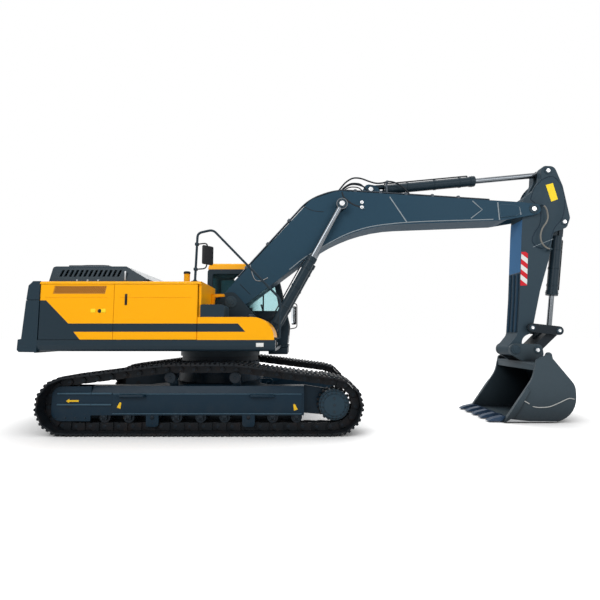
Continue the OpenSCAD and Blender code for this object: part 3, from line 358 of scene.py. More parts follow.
armRibHighlight = painted("armRibHighlight", rgb(44, 66, 84), 0.6, 0.08, 0.2, rgb(86, 104, 118), 0.02, **matt)
linkPaint = painted("linkPaint", rgb(22, 31, 38), 0.45, 0.12, 0.5, rgb(120, 126, 130), 0.02)
# the bucket's inside gets painted shade, darker where little light reaches
bucketPaint = painted("bucketPaint", rgb(60, 73, 81), 0.5, 0.14, 0.6, rgb(150, 152, 150), 0.1, dustTop=0.25,
                      hollowShade=rgb(6, 12, 18))
markYellow = painted("markYellow", rgb(236, 190, 40), 0.5, 0.08, 0.1, rgb(190, 160, 70), 0.1)
tagYellow = painted("tagYellow", rgb(250, 218, 44), 0.45, 0.06, 0.1, rgb(200, 160, 70), 0.02)
plateWhite = painted("plateWhite", rgb(226, 228, 226), 0.45, 0.05, 0.1, rgb(170, 170, 168), 0.04)
bandRed = painted("bandRed", rgb(204, 28, 42), 0.45, 0.06, 0.1, rgb(140, 60, 54), 0.02)
# lighter paint that stands in for the highlights on ribs, edges and rims
ribHighlightPaint = painted("ribHighlightPaint", rgb(58, 84, 100), 0.45, 0.12, 0.3, rgb(110, 124, 132), 0.04)
# seam paints are light: the welds' colour carries a painted highlight
seamHighlightPaint = painted("seamHighlightPaint", rgb(146, 157, 164), 0.5, 0.12, 0.3, rgb(140, 146, 150), 0.02)
weldHighlightPaint = painted("weldHighlightPaint", rgb(182, 184, 182), 0.5, 0.12, 0.2, rgb(150, 152, 150), 0.02)
grillePaint = painted("grillePaint", rgb(206, 142, 54), 0.5, 0.08, 0.2, rgb(120, 90, 50), 0.05)
worn = {"metallic": 0.2, "rust": 0.08, "shine": 0.2}
trackIron = bareMetal("trackIron", rgb(17, 22, 27), 0.55, edge=0.6, edgeTint=rgb(96, 100, 104), **worn)
rollerIron = bareMetal("rollerIron", rgb(20, 30, 38), 0.5, edge=0.4, edgeTint=rgb(96, 104, 110), **worn)
# the teeth's blue tint is a painted sky reflection
toothIron = bareMetal("toothIron", rgb(40, 62, 86), 0.42, metallic=0.3, rust=0.08, edge=0.8, shine=0.3)
pipeSteel = bareMetal("pipeSteel", rgb(58, 66, 74), 0.4, metallic=0.6)
rodChrome = bareMetal("rodChrome", rgb(112, 117, 122), 0.22, stretch=(1, 1, 12), bump=0.02)
pinSteel = bareMetal("pinSteel", rgb(222, 224, 226), 0.3, metallic=0.7, bump=0.05)
boltZinc = bareMetal("boltZinc", rgb(150, 152, 154), 0.38, metallic=0.8)
boltDark = bareMetal("boltDark", rgb(34, 46, 55), 0.5, metallic=0.2, shine=0.25)
mirrorGlass = bareMetal("mirrorGlass", rgb(214, 220, 224), 0.08, bump=0.0)
blackPlastic = moulded("blackPlastic", rgb(24, 26, 29), 0.5)
# dark back behind the grille mesh, a painted shade for the bay behind it
grilleBack = moulded("grilleBack", rgb(134, 62, 34), 0.7)
# grey hose, lighter than rubber to carry a painted highlight
hoseGrey = moulded("hoseGrey", rgb(126, 124, 118), 0.6, 300, 0.2)
hoseRubber = moulded("hoseRubber", rgb(30, 36, 42), 0.6, 300, 0.2)
seatCloth = moulded("seatCloth", rgb(40, 42, 46), 0.85, 700, 0.6)
cabGlass = glassOf("cabGlass", rgb(222, 248, 250), 0.92, shade=(0.62, 0.3, rgb(84, 118, 124)))
lampLens = glassOf("lampLens", rgb(226, 230, 232), 0.6, 0.05)
print("materials ready")

nodeFinish = [
    (framePaint, "car_body track_frames"), (drivePaint, "final_drives"), (castPaint, "counterweight"),
    (trackIron, "track_left track_right sprockets"),
    (rollerIron, "idlers rollers slew_ring hinge_rods engine right_grille left_grille"),
    (slatePaint, "revolving_frame side_skirts step_box handrail cab_frame engine_hood cab_door"),
    (slatePaint, "boom_barrels arm_barrel bucket_barrel"),
    (sidePaint, "fuel_tank right_rear_door right_front_door left_rear_door left_front_door"),
    (yellowPaint, "bay_walls deck_covers exhaust cab_roof"), (blackPlastic, "mirrors consoles"),
    (cabGlass, "cab_glass cab_door_glass"), (seatCloth, "seat"), (lampLens, "lamps"),
    (boomPaint, "boom"), (pipeSteel, "boom_pipes"), (rodChrome, "boom_rods arm_rod bucket_rod"),
    (armPaint, "arm"), (hoseRubber, "arm_hose"), (linkPaint, "guide_links bucket_link"),
    (bucketPaint, "bucket"), (toothIron, "bucket_teeth"),
]
for finish, nodeNames in nodeFinish:
    for nodeName in nodeNames.split():
        mesh = cadNodes[nodeName].data
        mesh.materials.clear()
        mesh.materials.append(finish)
print("frame painted")


# shape helpers
def scratchMesh(part, finish=0):
    for face in part.faces:
        face.material_index = finish
    data = bpy.data.meshes.new("scratch")
    part.to_mesh(data)
    part.free()
    return data


def stamp(shape, data, place):
    data.transform(place)
    shape.from_mesh(data)
    data.transform(place.inverted())


def join(shape, part, place=Matrix.Identity(4), finish=0):
    data = scratchMesh(part, finish)
    stamp(shape, data, place)
    bpy.data.meshes.remove(data)


def facing(place, direction, spin=0.0):  # turns a part's Z axis to a direction
    turn = Vector(direction).to_track_quat("Z", "Y").to_matrix().to_4x4()
    return Matrix.Translation(place) @ turn @ Matrix.Rotation(spin, 4, "Z")


def outward(x, y, z, spin=0.0):  # turns a part's Z axis away from the middle
    return facing(spot(x, y, z), (0, math.copysign(1, y), 0), spin)


def soften(part, edges, width, segments=2):
    if width > 0:
        bmesh.ops.bevel(part, geom=edges, offset=width, affect="EDGES", segments=segments, profile=0.5,
                        material=-1, clamp_overlap=True)


def block(shape, size, place, bevel=0.004, segments=2, finish=0):
    part = bmesh.new()
    bmesh.ops.create_cube(part, size=1)
    bmesh.ops.scale(part, vec=size, verts=part.verts)
    soften(part, part.edges[:], bevel, segments)
    join(shape, part, place, finish)


def turned(shape, profile, place, steps=24, finish=0):  # profile of radius and height, turned about Z
    part = bmesh.new()
    corners = [part.verts.new((r, 0, h)) for r, h in profile]
    edges = [part.edges.new(pair) for pair in zip(corners, corners[1:])]
    bmesh.ops.spin(part, geom=corners + edges, cent=(0, 0, 0), axis=(0, 0, 1), angle=2 * math.pi,
                   steps=steps, use_merge=True)
    bmesh.ops.remove_doubles(part, verts=part.verts, dist=0.0001)
    bmesh.ops.holes_fill(part, edges=[edge for edge in part.edges if edge.is_boundary])
    join(shape, part, place, finish)


def discPart(radius, depth, segments, bevel, top=None):  # along Z, from 0 to depth
    part = bmesh.new()
    bmesh.ops.create_cone(part, cap_ends=True, segments=segments, radius1=radius,
                          radius2=radius if top is None else top, depth=depth)
    bmesh.ops.translate(part, vec=(0, 0, depth / 2), verts=part.verts)
    rim = [edge for edge in part.edges if min(vert.co.z for vert in edge.verts) > depth * 0.9]
    soften(part, rim, bevel)
    return part


def boltPart(size, height):  # six-sided head with a washer under it
    part = bmesh.new()
    bmesh.ops.create_cone(part, cap_ends=True, segments=6, radius1=size, radius2=size * 0.9, depth=height)
    bmesh.ops.translate(part, vec=(0, 0, height / 2 + height * 0.2), verts=part.verts)
    washer = bmesh.ops.create_cone(part, cap_ends=True, segments=10, radius1=size * 1.45, radius2=size * 1.4,
                                   depth=height * 0.25)["verts"]
    bmesh.ops.translate(part, vec=(0, 0, height * 0.125), verts=washer)
    return part


def slabPart(outline, thick, bevel=0.0, segments=2):  # outline of x and z, thick along Y about 0
    part = bmesh.new()
    face = part.faces.new([part.verts.new((x, -thick / 2, z)) for x, z in outline])
    grown = bmesh.ops.extrude_face_region(part, geom=[face])["geom"]
    moved = [item for item in grown if isinstance(item, bmesh.types.BMVert)]
    bmesh.ops.translate(part, vec=(0, thick, 0), verts=moved)
    bmesh.ops.recalc_face_normals(part, faces=part.faces)
    if bevel:
        rims = [edge for edge in part.edges if abs(edge.verts[0].co.y - edge.verts[1].co.y) < thick / 2]
        soften(part, rims, bevel, segments)
    return part


def slab(shape, outline, thick, place, bevel=0.0, finish=0):
    join(shape, slabPart(outline, thick, bevel), place, finish)


def plate(shape, outline, thick, y, bevel=0.0, segments=2):  # a slab with its outline from the slew axis
    part = slabPart([(x + slewX, z) for x, z in outline], thick, bevel, segments)
    join(shape, part, shift(0, y, 0))


def filleted(points, radius, steps=6):  # a path whose corners are rounded
    path = [Vector(points[0])]
    for before, here, after in zip(points, points[1:], points[2:]):
        before, here, after = Vector(before), Vector(here), Vector(after)
        back, ahead = (before - here), (after - here)
        reach = min(radius, back.length * 0.45, ahead.length * 0.45)
        start, end = here + back.normalized() * reach, here + ahead.normalized() * reach
        for step in range(steps + 1):
            t = step / steps
            path.append(start * (1 - t) ** 2 + here * 2 * t * (1 - t) + end * t**2)
    path.append(Vector(points[-1]))
    return path


def curvePoints(points, steps=5):  # a smooth path through the given points
    points = [Vector(p) for p in points]
    ends = [points[0] * 2 - points[1]] + points + [points[-1] * 2 - points[-2]]
    path = []
    for a, b, c, d in zip(ends, ends[1:], ends[2:], ends[3:]):
        for step in range(steps):
            t = step / steps
            bend, twist = 2 * a - 5 * b + 4 * c - d, 3 * b - a - 3 * c + d
            path.append(0.5 * (2 * b + (c - a) * t + bend * t**2 + twist * t**3))
    return path + [points[-1]]


def tube(shape, path, radius, sides=12, place=Matrix.Identity(4), finish=0):
    data = bpy.data.curves.new("route", "CURVE")
    data.dimensions = "3D"
    data.bevel_depth = radius
    data.bevel_resolution = max(1, sides // 4 - 1)
    data.use_fill_caps = True
    line = data.splines.new("POLY")
    line.points.add(len(path) - 1)
    for point, corner in zip(line.points, path):
        point.co = (*corner, 1)
    curve = bpy.data.objects.new("route", data)
    scene.collection.objects.link(curve)
    bpy.context.view_layer.update()
    made = bpy.data.meshes.new_from_object(curve.evaluated_get(bpy.context.evaluated_depsgraph_get()))
    part = bmesh.new()
    part.from_mesh(made)
    bpy.data.objects.remove(curve)
    bpy.data.curves.remove(data)
    bpy.data.meshes.remove(made)
    join(shape, part, place, finish)


def keep(shape, name, finishes, body, angle=32, replaces=()):
    bmesh.ops.remove_doubles(shape, verts=shape.verts, dist=0.00001)
    bmesh.ops.recalc_face_normals(shape, faces=shape.faces)
    for face in shape.faces:
        face.smooth = True
    for edge in shape.edges:
        edge.smooth = len(edge.link_faces) == 2 and edge.calc_face_angle(0) < math.radians(angle)
    data = bpy.data.meshes.new(name)
    shape.to_mesh(data)
    shape.free()
    for finish in finishes if isinstance(finishes, list) else [finishes]:
        data.materials.append(finish)
    piece = bpy.data.objects.new(name, data)
    scene.collection.objects.link(piece)
    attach(piece, body)
    if replaces:
        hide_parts(*replaces)
    return piece


# tracks: shoes and links laid by length round idler, sprocket and carrier rollers
track = {
    "shoes": 49, "gauge": 2.6, "width": 0.6, "plate": 0.024, "grouser": 0.022,
    "grousersAt": (0.14, 0.5, 0.86), "linkTop": -0.001, "linkDepth": 0.116, "pinDepth": 0.062,
    "pinRadius": 0.024, "pinLength": 0.206, "boss": 0.047, "bossWaist": 0.03,
    "boltsAt": ((0.315, 0.685), (-0.08, 0.08)),
    "circles": [(-2.02, 0.44, 0.394), (2.02, 0.44, 0.394), (0.5, 0.8427, 0.1863), (-0.5, 0.8427, 0.1863)],
}


def beltJoints():
    rounds = track["circles"]
    following = rounds[1:] + rounds[:1]
    normals = []
    for (ax, az, ar), (bx, bz, br) in zip(rounds, following):
        gap = math.hypot(bx - ax, bz - az)
        normals.append(math.atan2(bz - az, bx - ax) - math.pi / 2 + math.asin((ar - br) / gap))
    stretches = []
    for i, ((ax, az, ar), (bx, bz, br)) in enumerate(zip(rounds, following)):
        turn = (normals[i] - normals[i - 1]) % (2 * math.pi)
        run = math.sqrt((bx - ax) ** 2 + (bz - az) ** 2 - (ar - br) ** 2)
        stretches.append((ax, az, ar, normals[i], turn, run))
    pitch = sum(r * turn + run for x, z, r, out, turn, run in stretches) / track["shoes"]
    joints = []
    for k in range(track["shoes"]):
        along = k * pitch
        for x, z, r, out, turn, run in stretches:
            if along <= r * turn:  # on the round
                angle = out - turn + along / r
                joints.append((x + r * math.cos(angle), z + r * math.sin(angle)))
                break
            along -= r * turn
            if along <= run:  # on the straight after it
                c, s = math.cos(out), math.sin(out)
                joints.append((x + r * c - along * s, z + r * s + along * c))
                break
            along -= run
    return joints, pitch


def shoePart(pitch):
    base, tip = track["plate"], track["plate"] + track["grouser"]
    outline = [(-0.04, 0.001), (-0.04, 0.01), (0.0, base)]
    for middle in track["grousersAt"]:
        outline += [(middle - 0.11, base), (middle - 0.07, tip), (middle + 0.07, tip), (middle + 0.11, base)]
    outline += [(0.99, base), (1.02, 0.012), (1.02, 0.002)]
    return slabPart([(u * pitch, v) for u, v in outline], track["width"])


def linkPart(pitch, rear, low, high):  # rear or front half of a cranked link, low to high along Y
    top, under, waist, r = track["linkTop"], -track["linkDepth"], track["bossWaist"], track["boss"]
    pin, angles = (0, (250, 215, 180, 145, 115)) if rear else (pitch, (65, 35, 0, -35, -70))
    boss = [(pin + r * math.cos(a), r * math.sin(a) - track["pinDepth"]) for a in map(math.radians, angles)]
    if rear:
        outline = [(waist, top), (0.6 * pitch, top), (0.6 * pitch, under), (waist, under)] + boss
    else:
        start, end = 0.4 * pitch, pitch - waist
        outline = [(start, top), (end, top)] + boss + [(end, under), (start, under)]
    part = slabPart(outline, high - low)
    bmesh.ops.translate(part, vec=(0, (low + high) / 2, 0), verts=part.verts)
    return part


def makeTracks():
    joints, pitch = beltJoints()
    shoe = scratchMesh(shoePart(pitch))
    nut = scratchMesh(boltPart(0.017, 0.016), 1)
    halves = []
    for side in (1, -1):
        for rear, y0, y1 in ((True, 0.08, 0.1), (False, 0.06, 0.08)):
            low, high = sorted((side * y0, side * y1))
            halves.append(scratchMesh(linkPart(pitch, rear, low, high)))
    pinPart = discPart(track["pinRadius"], track["pinLength"], 10, 0.003)
    bmesh.ops.translate(pinPart, vec=(0, 0, -track["pinLength"] / 2), verts=pinPart.verts)
    pin = scratchMesh(pinPart, 1)
    pinPlace = shift(0, 0, -track["pinDepth"]) @ Matrix.Rotation(math.pi / 2, 4, "X")
    for name, side in (("Right", -1), ("Left", 1)):
        shoes, chain = bmesh.new(), bmesh.new()
        for (ax, az), (bx, bz) in zip(joints, joints[1:] + joints[:1]):
            along = Vector((bx - ax, 0, bz - az)).normalized()
            out = Vector((along.z, 0, -along.x))
            turn = Matrix((along, out.cross(along), out)).transposed().to_4x4()
            place = at(ax, side * track["gauge"] / 2, az) @ turn
            stamp(shoes, shoe, place)
            for u in track["boltsAt"][0]:
                for y in track["boltsAt"][1]:
                    stamp(shoes, nut, place @ shift(u * pitch, y, track["plate"]))
            for half in halves:
                stamp(chain, half, place)
            stamp(chain, pin, place @ pinPlace)
        keep(shoes, "trackShoes" + name, [trackIron, boltDark], "undercarriage",
             replaces=("track_" + name.lower(),))
        keep(chain, "trackChain" + name, [trackIron, rollerIron], "undercarriage")


makeTracks()
print("tracks laid")

# undercarriage trim
halfGauge = track["gauge"] / 2
frameFace = halfGauge + 0.13  # outer face of the track frames
# rings of bolts: radius, face, count and size
drive = {"x": track["circles"][1][0], "z": track["circles"][1][1], "plugs": (0.1, 0.0, -0.1),
         "plugFace": 0.19, "rings": ((0.217, 0.145, 24, 0.011), (0.18, 0.17, 16, 0.009))}
rollers = {"count": 9, "pitch": 0.366, "shift": -0.016, "z": 0.2453, "face": frameFace, "boltless": (2, 6),
           "cap": [(0, 0.016), (0.016, 0.016), (0.022, 0.01), (0.029, 0.008), (0.029, 0.0)]}
carriers = {"at": (-0.5, 0.5), "z": track["circles"][2][1], "face": halfGauge + 0.1,
            "cap": [(0, 0.03), (0.02, 0.03), (0.026, 0.022), (0.07, 0.02), (0.085, 0.014), (0.085, 0.0)]}
slewBolts = {"count": 36, "radius": 0.712, "z": 1.01}


def rollerX(k):
    return (k - rollers["count"] // 2) * rollers["pitch"] + rollers["shift"]


def makeUndercarriageBolts():
    shape = bmesh.new()
    small = scratchMesh(boltPart(0.009, 0.009))
    for side in bothSides:
        for radius, face, count, size in drive["rings"]:
            head = scratchMesh(boltPart(size, size))
            for k in range(count):
                a = 2 * math.pi * (k + 0.5) / count
                x, z = drive["x"] + radius * math.cos(a), drive["z"] + radius * math.sin(a)
                stamp(shape, head, outward(x, side * (halfGauge + face), z, a))
        for z in drive["plugs"]:
            place = outward(drive["x"], side * (halfGauge + drive["plugFace"]), drive["z"] + z)
            join(shape, discPart(0.02, 0.008, 16, 0.002), place)
        for k in range(rollers["count"]):
            if k not in rollers["boltless"]:
                for dx in (-0.032, 0.032):
                    place = outward(rollerX(k) + dx, side * rollers["face"], rollers["z"] - 0.02)
                    stamp(shape, small, place)
        for z in (0.44, 0.606):  # on the ribs by the idler
            stamp(shape, small, outward(-1.68, side * (frameFace + 0.014), z))
        for k in range(4):  # low on the frame by the idler
            stamp(shape, small, outward(-2.22 + 0.15 * k, side * frameFace, 0.24))
    head = scratchMesh(boltPart(0.016, 0.02))
    for k in range(slewBolts["count"]):
        a = 2 * math.pi * k / slewBolts["count"]
        x, y = slewBolts["radius"] * math.cos(a), slewBolts["radius"] * math.sin(a)
        stamp(shape, head, facing(spot(x, y, slewBolts["z"]), (0, 0, 1)))
    keep(shape, "undercarriageBolts", boltDark, "undercarriage")


def makeRollerCaps():
    shape = bmesh.new()
    for side in bothSides:
        for k in range(rollers["count"]):
            turned(shape, rollers["cap"], outward(rollerX(k), side * rollers["face"], rollers["z"]), 20)
        for x in carriers["at"]:
            turned(shape, carriers["cap"], outward(x, side * carriers["face"], carriers["z"]))
    keep(shape, "rollerCaps", rollerIron, "undercarriage")


# idler ribs and strips along the frame's top and bottom edges: the ribs are real, their lighter colour and
# the edge strips are painted highlights
frameRibs = {
    "idler": ((-2.2, -1.37), (0.606, 0.44), 0.024),  # x from and to, heights and thickness
    "edges": ((-1.355, 1.525), (0.303, 0.599), 0.014),
    "plate": [(-1.36, 0.3), (1.53, 0.3), (1.53, 0.602), (-1.36, 0.602)],
    "handles": ((-1.25, -0.87), (0.75, 1.1)), "handleZ": 0.575, "handleOut": 0.05,
}


def makeFrameRibs():
    shape = bmesh.new()
    z, reach = frameRibs["handleZ"], frameRibs["handleOut"]
    for side in bothSides:
        for group, bevel in (("idler", 0.006), ("edges", 0.005)):
            (x0, x1), heights, thick = frameRibs[group]
            for height in heights:
                place = at((x0 + x1) / 2, side * (frameFace + 0.01), height)
                block(shape, (x1 - x0, thick, thick), place, bevel, finish=1)
        plate(shape, frameRibs["plate"], 0.014, side * (frameFace + 0.006), 0.004)
        for x0, x1 in frameRibs["handles"]:
            bar = filleted([(x0, 0, z), (x0, reach, z), (x1, reach, z), (x1, 0, z)], 0.03)
            place = shift(slewX, side * (frameFace + 0.012), 0) @ Matrix.Diagonal((1, side, 1, 1))
            tube(shape, bar, 0.02, place=place)
    keep(shape, "frameRibs", [framePaint, ribHighlightPaint], "undercarriage")


frameMarks = {
    "arrow": [(-2.07, 0.493), (-2.02, 0.525), (-2.02, 0.506), (-1.875, 0.506), (-1.875, 0.48), (-2.02, 0.48),
              (-2.02, 0.461)],
    "tag": [(-0.03, -0.045), (0.03, -0.045), (0.014, 0.045), (-0.014, 0.045)],
    "tagsAt": ((-1.245, 0.43, 0.3), (1.424, 0.403, -0.3)), "thick": 0.003,  # x, z and lean
}


def makeFrameMarks():
    shape = bmesh.new()
    for side in bothSides:
        plate(shape, frameMarks["arrow"], frameMarks["thick"], side * (frameFace + 0.0015))
        for x, z, lean in frameMarks["tagsAt"]:
            place = at(x, side * (frameFace + 0.0145), z) @ Matrix.Rotation(lean, 4, "Y")
            slab(shape, frameMarks["tag"], frameMarks["thick"], place)
    keep(shape, "frameMarks", markYellow, "undercarriage")


# dark plate that shuts the rollers in from the middle, a painted shade for the gaps between them
rollerShadePlate = {"size": (3.47, 0.016, 0.17), "place": (-0.215, 1.183, 0.215)}


def makeRollerShadePlates():
    shape = bmesh.new()
    x, y, z = rollerShadePlate["place"]
    for side in bothSides:
        block(shape, rollerShadePlate["size"], at(x, side * y, z))
    keep(shape, "rollerShadePlates", rollerIron, "undercarriage")


makeUndercarriageBolts()
makeRollerCaps()
makeFrameRibs()
makeFrameMarks()
makeRollerShadePlates()
print("undercarriage trimmed")


# handrail, mirrors, exhaust and lamps of the house
rail = {
    "y": -1.4, "radius": 0.019, "bend": 0.07, "clamps": (2.53, 2.93), "lean": 0.022 / 0.72,
    "path": [(-0.153, 2.33), (-0.128, 3.11), (0.115, 3.165), (1.19, 2.06), (1.18, 1.44), (1.1, 1.44)],
    "foot": [(0, 0.03), (0.028, 0.03), (0.03, 0.012), (0.06, 0.01), (0.064, 0.006), (0.064, 0)],
}


def makeHandrail():
    shape = bmesh.new()
    y, (footX, footZ) = rail["y"], rail["path"][0]
    tube(shape, filleted(route(rail["path"], y), rail["bend"], 8), rail["radius"], 16)
    turned(shape, rail["foot"], at(footX, y, footZ))
    for z in rail["clamps"]:
        block(shape, (0.06, 0.06, 0.05), at(footX + rail["lean"] * (z - footZ), y, z), 0.012)
    keep(shape, "handrail", slatePaint, "house", replaces=("handrail",))


mirrors = [
    {"place": (0.05, -1.445, 2.745), "size": (0.055, 0.2, 0.3), "turn": -0.7,
     "arm": [(-0.14, -1.4, 2.93), (0.03, -1.4, 2.95), (0.04, -1.4, 2.745), (0.02, -1.4, 2.54),
             (-0.145, -1.4, 2.53)]},
    {"place": (1.36, 1.51, 1.94), "size": (0.055, 0.13, 0.42), "turn": 0.75,
     "arm": [(1.2, 1.47, 1.62), (1.43, 1.5, 1.66), (1.43, 1.5, 1.94), (1.43, 1.5, 2.21), (1.2, 1.47, 2.22)]},
]


def makeMirrors():
    shape = bmesh.new()
    for mirror in mirrors:
        w, d, h = mirror["size"]
        place = at(*mirror["place"]) @ Matrix.Rotation(mirror["turn"], 4, "Z")
        block(shape, (w, d, h), place, min(w, d) * 0.42, 4)
        block(shape, (0.008, d * 0.82, h * 0.86), place @ shift(-w / 2, 0, 0), 0.003, finish=1)
        tube(shape, filleted([spot(*p) for p in mirror["arm"]], 0.06), 0.011)
    keep(shape, "mirrors", [blackPlastic, mirrorGlass], "house", replaces=("mirrors",))


exhaust = {
    "place": (-0.41, -0.95, 2.33),
    "pipe": [(0.07, 0), (0.07, 0.008), (0.052, 0.012), (0.05, 0.02), (0.05, 0.195)],
    "end": [(0.05, 0.19), (0.056, 0.195), (0.056, 0.228), (0.045, 0.235), (0.04, 0.22), (0.0, 0.21)],
}


def makeExhaust():
    shape = bmesh.new()
    for finish, profile in enumerate((exhaust["pipe"], exhaust["end"])):
        turned(shape, profile, at(*exhaust["place"]), 28, finish)
    keep(shape, "exhaust", [yellowPaint, blackPlastic], "house", replaces=("exhaust",))


# place and size of each
workLamps = [((0.828, 0.635, 3.027), (0.06, 0.12, 0.075)), ((0.828, 1.325, 3.027), (0.06, 0.12, 0.075)),
             ((1.08, -0.71, 1.344), (0.05, 0.1, 0.075))]


def makeWorkLamps():
    shape = bmesh.new()
    for centre, (w, d, h) in workLamps:
        place = at(*centre)
        block(shape, (w, d, h), place, 0.014, 3)
        block(shape, (0.012, d * 0.82, h * 0.72), place @ shift(w / 2, 0, 0), finish=1)
        block(shape, (w * 0.4, d * 0.5, h * 0.3), place @ shift(0, 0, -h / 2 - 0.005))
    keep(shape, "workLamps", [blackPlastic, lampLens], "house", replaces=("lamps",))


# hood mesh, grilles and small fittings of the panels
hood = {"low": (-2.34, -1.02), "high": (-1.72, 1.02), "z": 2.61, "rise": 0.08, "cells": (16, 48),
        "wire": 0.009, "bar": (0.035, 0.05), "boltsAt": (-2.07, -1.9, -1.73), "boltFace": (1.294, 2.365),
        "catch": (0.03, 0.014, 0.15), "catchAt": (-1.3, 1.297, 2.44)}


def makeHoodMesh():
    shape, dome = bmesh.new(), bmesh.new()
    (x0, y0), (x1, y1) = hood["low"], hood["high"]
    bmesh.ops.create_grid(dome, x_segments=hood["cells"][0], y_segments=hood["cells"][1], size=0.5)
    for vert in dome.verts:
        u, v = vert.co.x * 2, vert.co.y * 2
        lift = hood["rise"] * (1 - u**6) * (1 - v**8)
        x, y = x0 + (x1 - x0) * (u + 1) / 2, y0 + (y1 - y0) * (v + 1) / 2
        vert.co = spot(x, y, hood["z"] + 0.02 + lift)
    bmesh.ops.wireframe(dome, faces=dome.faces[:], thickness=hood["wire"], use_replace=True,
                        use_boundary=True, use_even_offset=False)
    join(shape, dome)
    (wide, tall), barZ = hood["bar"], hood["z"] + 0.024
    for y in (y0, 0, y1):
        block(shape, (x1 - x0 + 0.05, wide, tall), at((x0 + x1) / 2, y, barZ), 0.008)
    for x in (x0, x1):
        block(shape, (wide, y1 - y0, tall), at(x, 0, barZ), 0.008)
    head = scratchMesh(boltPart(0.011, 0.012), 1)
    (boltY, boltZ), (catchX, catchY, catchZ) = hood["boltFace"], hood["catchAt"]
    for side in bothSides:
        for x in hood["boltsAt"]:
            stamp(shape, head, facing(spot(x, side * boltY, boltZ), (0, side, 0.2)))
        block(shape, hood["catch"], at(catchX, side * catchY, catchZ), 0.005, finish=1)
    keep(shape, "hoodMesh", [slatePaint, boltZinc], "engine_hood")


grille = {"x": (-2.325, -1.517), "z": (2.13, 2.255), "slant": 0.027, "pitch": 0.036, "face": 1.478,
          "bar": 0.0075, "gap": 0.004, "rim": (0.012, 0.014)}


def crossBars(shape, width, depth, place):  # two sets of slanted strips inside a rectangle
    pitch, size, gap = grille["pitch"], grille["bar"], grille["gap"]
    for way in (1, -1):
        for k in range(1, int((width + depth) / pitch)):
            c = k * pitch
            ends = [(max(0.0, c - depth), min(c, depth)), (min(c, width), max(0.0, c - width))]
            start, end = [Vector((gap + (u if way > 0 else width - u), gap + v, 0)) for u, v in ends]
            run = end - start
            middle = (start + end) / 2 + Vector((0, 0, way * size * 0.2))
            turn = Matrix.Translation(middle) @ Matrix.Rotation(math.atan2(run.y, run.x), 4, "Z")
            block(shape, (run.length, size, size * 0.6), place @ turn, 0)


def makeGrilles():
    (x0, x1), (z0, z1), (rim, thick) = grille["x"], grille["z"], grille["rim"]
    width, height = x1 - x0, z1 - z0
    lean = Matrix.Identity(4)
    lean[0][1] = grille["slant"] / height
    for name, side in (("right", -1), ("left", 1)):
        shape = bmesh.new()
        flat = at(x0, side * grille["face"], z0) @ Matrix.Rotation(math.pi / 2, 4, "X") @ lean
        crossBars(shape, width - 2 * grille["gap"], height - 2 * grille["gap"], flat)
        for y in (rim / 2, height - rim / 2):
            block(shape, (width, rim, thick), flat @ shift(width / 2, y, 0), 0.003)
        for x in (rim / 2, width - rim / 2):
            block(shape, (rim, height, thick), flat @ shift(x, height / 2, 0), 0.003)
        # dark back plate, painted shade behind the mesh
        back = flat @ shift(width / 2, height / 2, side * 0.0075)
        block(shape, (width - 0.002, height - 0.002, 0.004), back, 0.001, finish=1)
        keep(shape, name + "Grille", [grillePaint, grilleBack], name + "_rear_door",
             replaces=(name + "_grille",))


handleAt, lockAt = ("handle", -1.188, 2.043), ("lock", -1.59, 1.865)
fittings = [
    ("right_front_door", -1, [handleAt]),
    ("right_rear_door", -1, [lockAt, ("tag", -1.69, 1.87), ("tag", -1.53, 1.87)]),
    ("left_front_door", 1, [handleAt]),
    ("left_rear_door", 1, [lockAt]),
]
lockRound = [(0, 0.012), (0.012, 0.012), (0.016, 0.008), (0.026, 0.006), (0.03, 0)]
doorFace = 1.49


def makeFittings():
    for body, side, things in fittings:
        shape = bmesh.new()
        for kind, x, z in things:
            place = at(x, side * (doorFace + 0.002), z)
            if kind == "handle":
                block(shape, (0.036, 0.012, 0.175), place, 0.005)
                block(shape, (0.018, 0.022, 0.12), place @ shift(0, side * 0.008, -0.008), 0.007, 3)
            elif kind == "lock":
                turned(shape, lockRound, outward(x, side * doorFace, z), 20)
                block(shape, (0.008, 0.006, 0.05), place @ shift(0, side * 0.01, 0), 0.002)
            else:
                block(shape, (0.075, 0.003, 0.06), place, 0.001, finish=1)
        keep(shape, body + ".fittings", [blackPlastic, tagYellow], body)


# treads on the deck, from and to, with their heights
treads = [((-0.02, -1.46), (0.3, -1.1), 1.962), ((-0.95, -1.3), (-0.3, -0.55), 2.33),
          ((0.36, -1.4), (0.62, -0.75), 1.772)]
tankCap = {"place": (0.72, -1.2, 1.772),
           "profile": [(0, 0.05), (0.04, 0.05), (0.055, 0.04), (0.058, 0.012), (0.075, 0.01), (0.078, 0)]}
blankPlate = {"size": (0.115, 0.003, 0.06), "place": (0.885, -1.491, 1.345)}
studs = {"pitch": 0.05, "edge": 0.03, "plate": 0.006}


def makeDeckTreads():
    shape = bmesh.new()
    block(shape, blankPlate["size"], at(*blankPlate["place"]), 0.001, finish=1)
    turned(shape, tankCap["profile"], at(*tankCap["place"]), 28)
    stud = scratchMesh(discPart(0.011, 0.006, 8, 0, 0.008))
    pitch, edge, thick = studs["pitch"], studs["edge"], studs["plate"]
    for (x0, y0), (x1, y1), z in treads:
        block(shape, (x1 - x0, y1 - y0, thick), at((x0 + x1) / 2, (y0 + y1) / 2, z + thick / 2), 0.002)
        for i in range(int((x1 - x0) / pitch)):
            for j in range(int((y1 - y0) / pitch)):
                stamp(shape, stud, at(x0 + edge + pitch * i, y0 + edge + pitch * j, z + thick))
    keep(shape, "deckTreads", [slatePaint, plateWhite], "house")


shelf = {"web": [(-0.038, 2.19), (0.18, 2.19), (0.18, 2.165), (0.02, 2.15), (-0.01, 2.0), (-0.038, 2.0)],
         "rows": (-0.66, -0.74), "top": (0.218, 0.11, 0.014), "topAt": (0.071, -0.7, 2.196)}


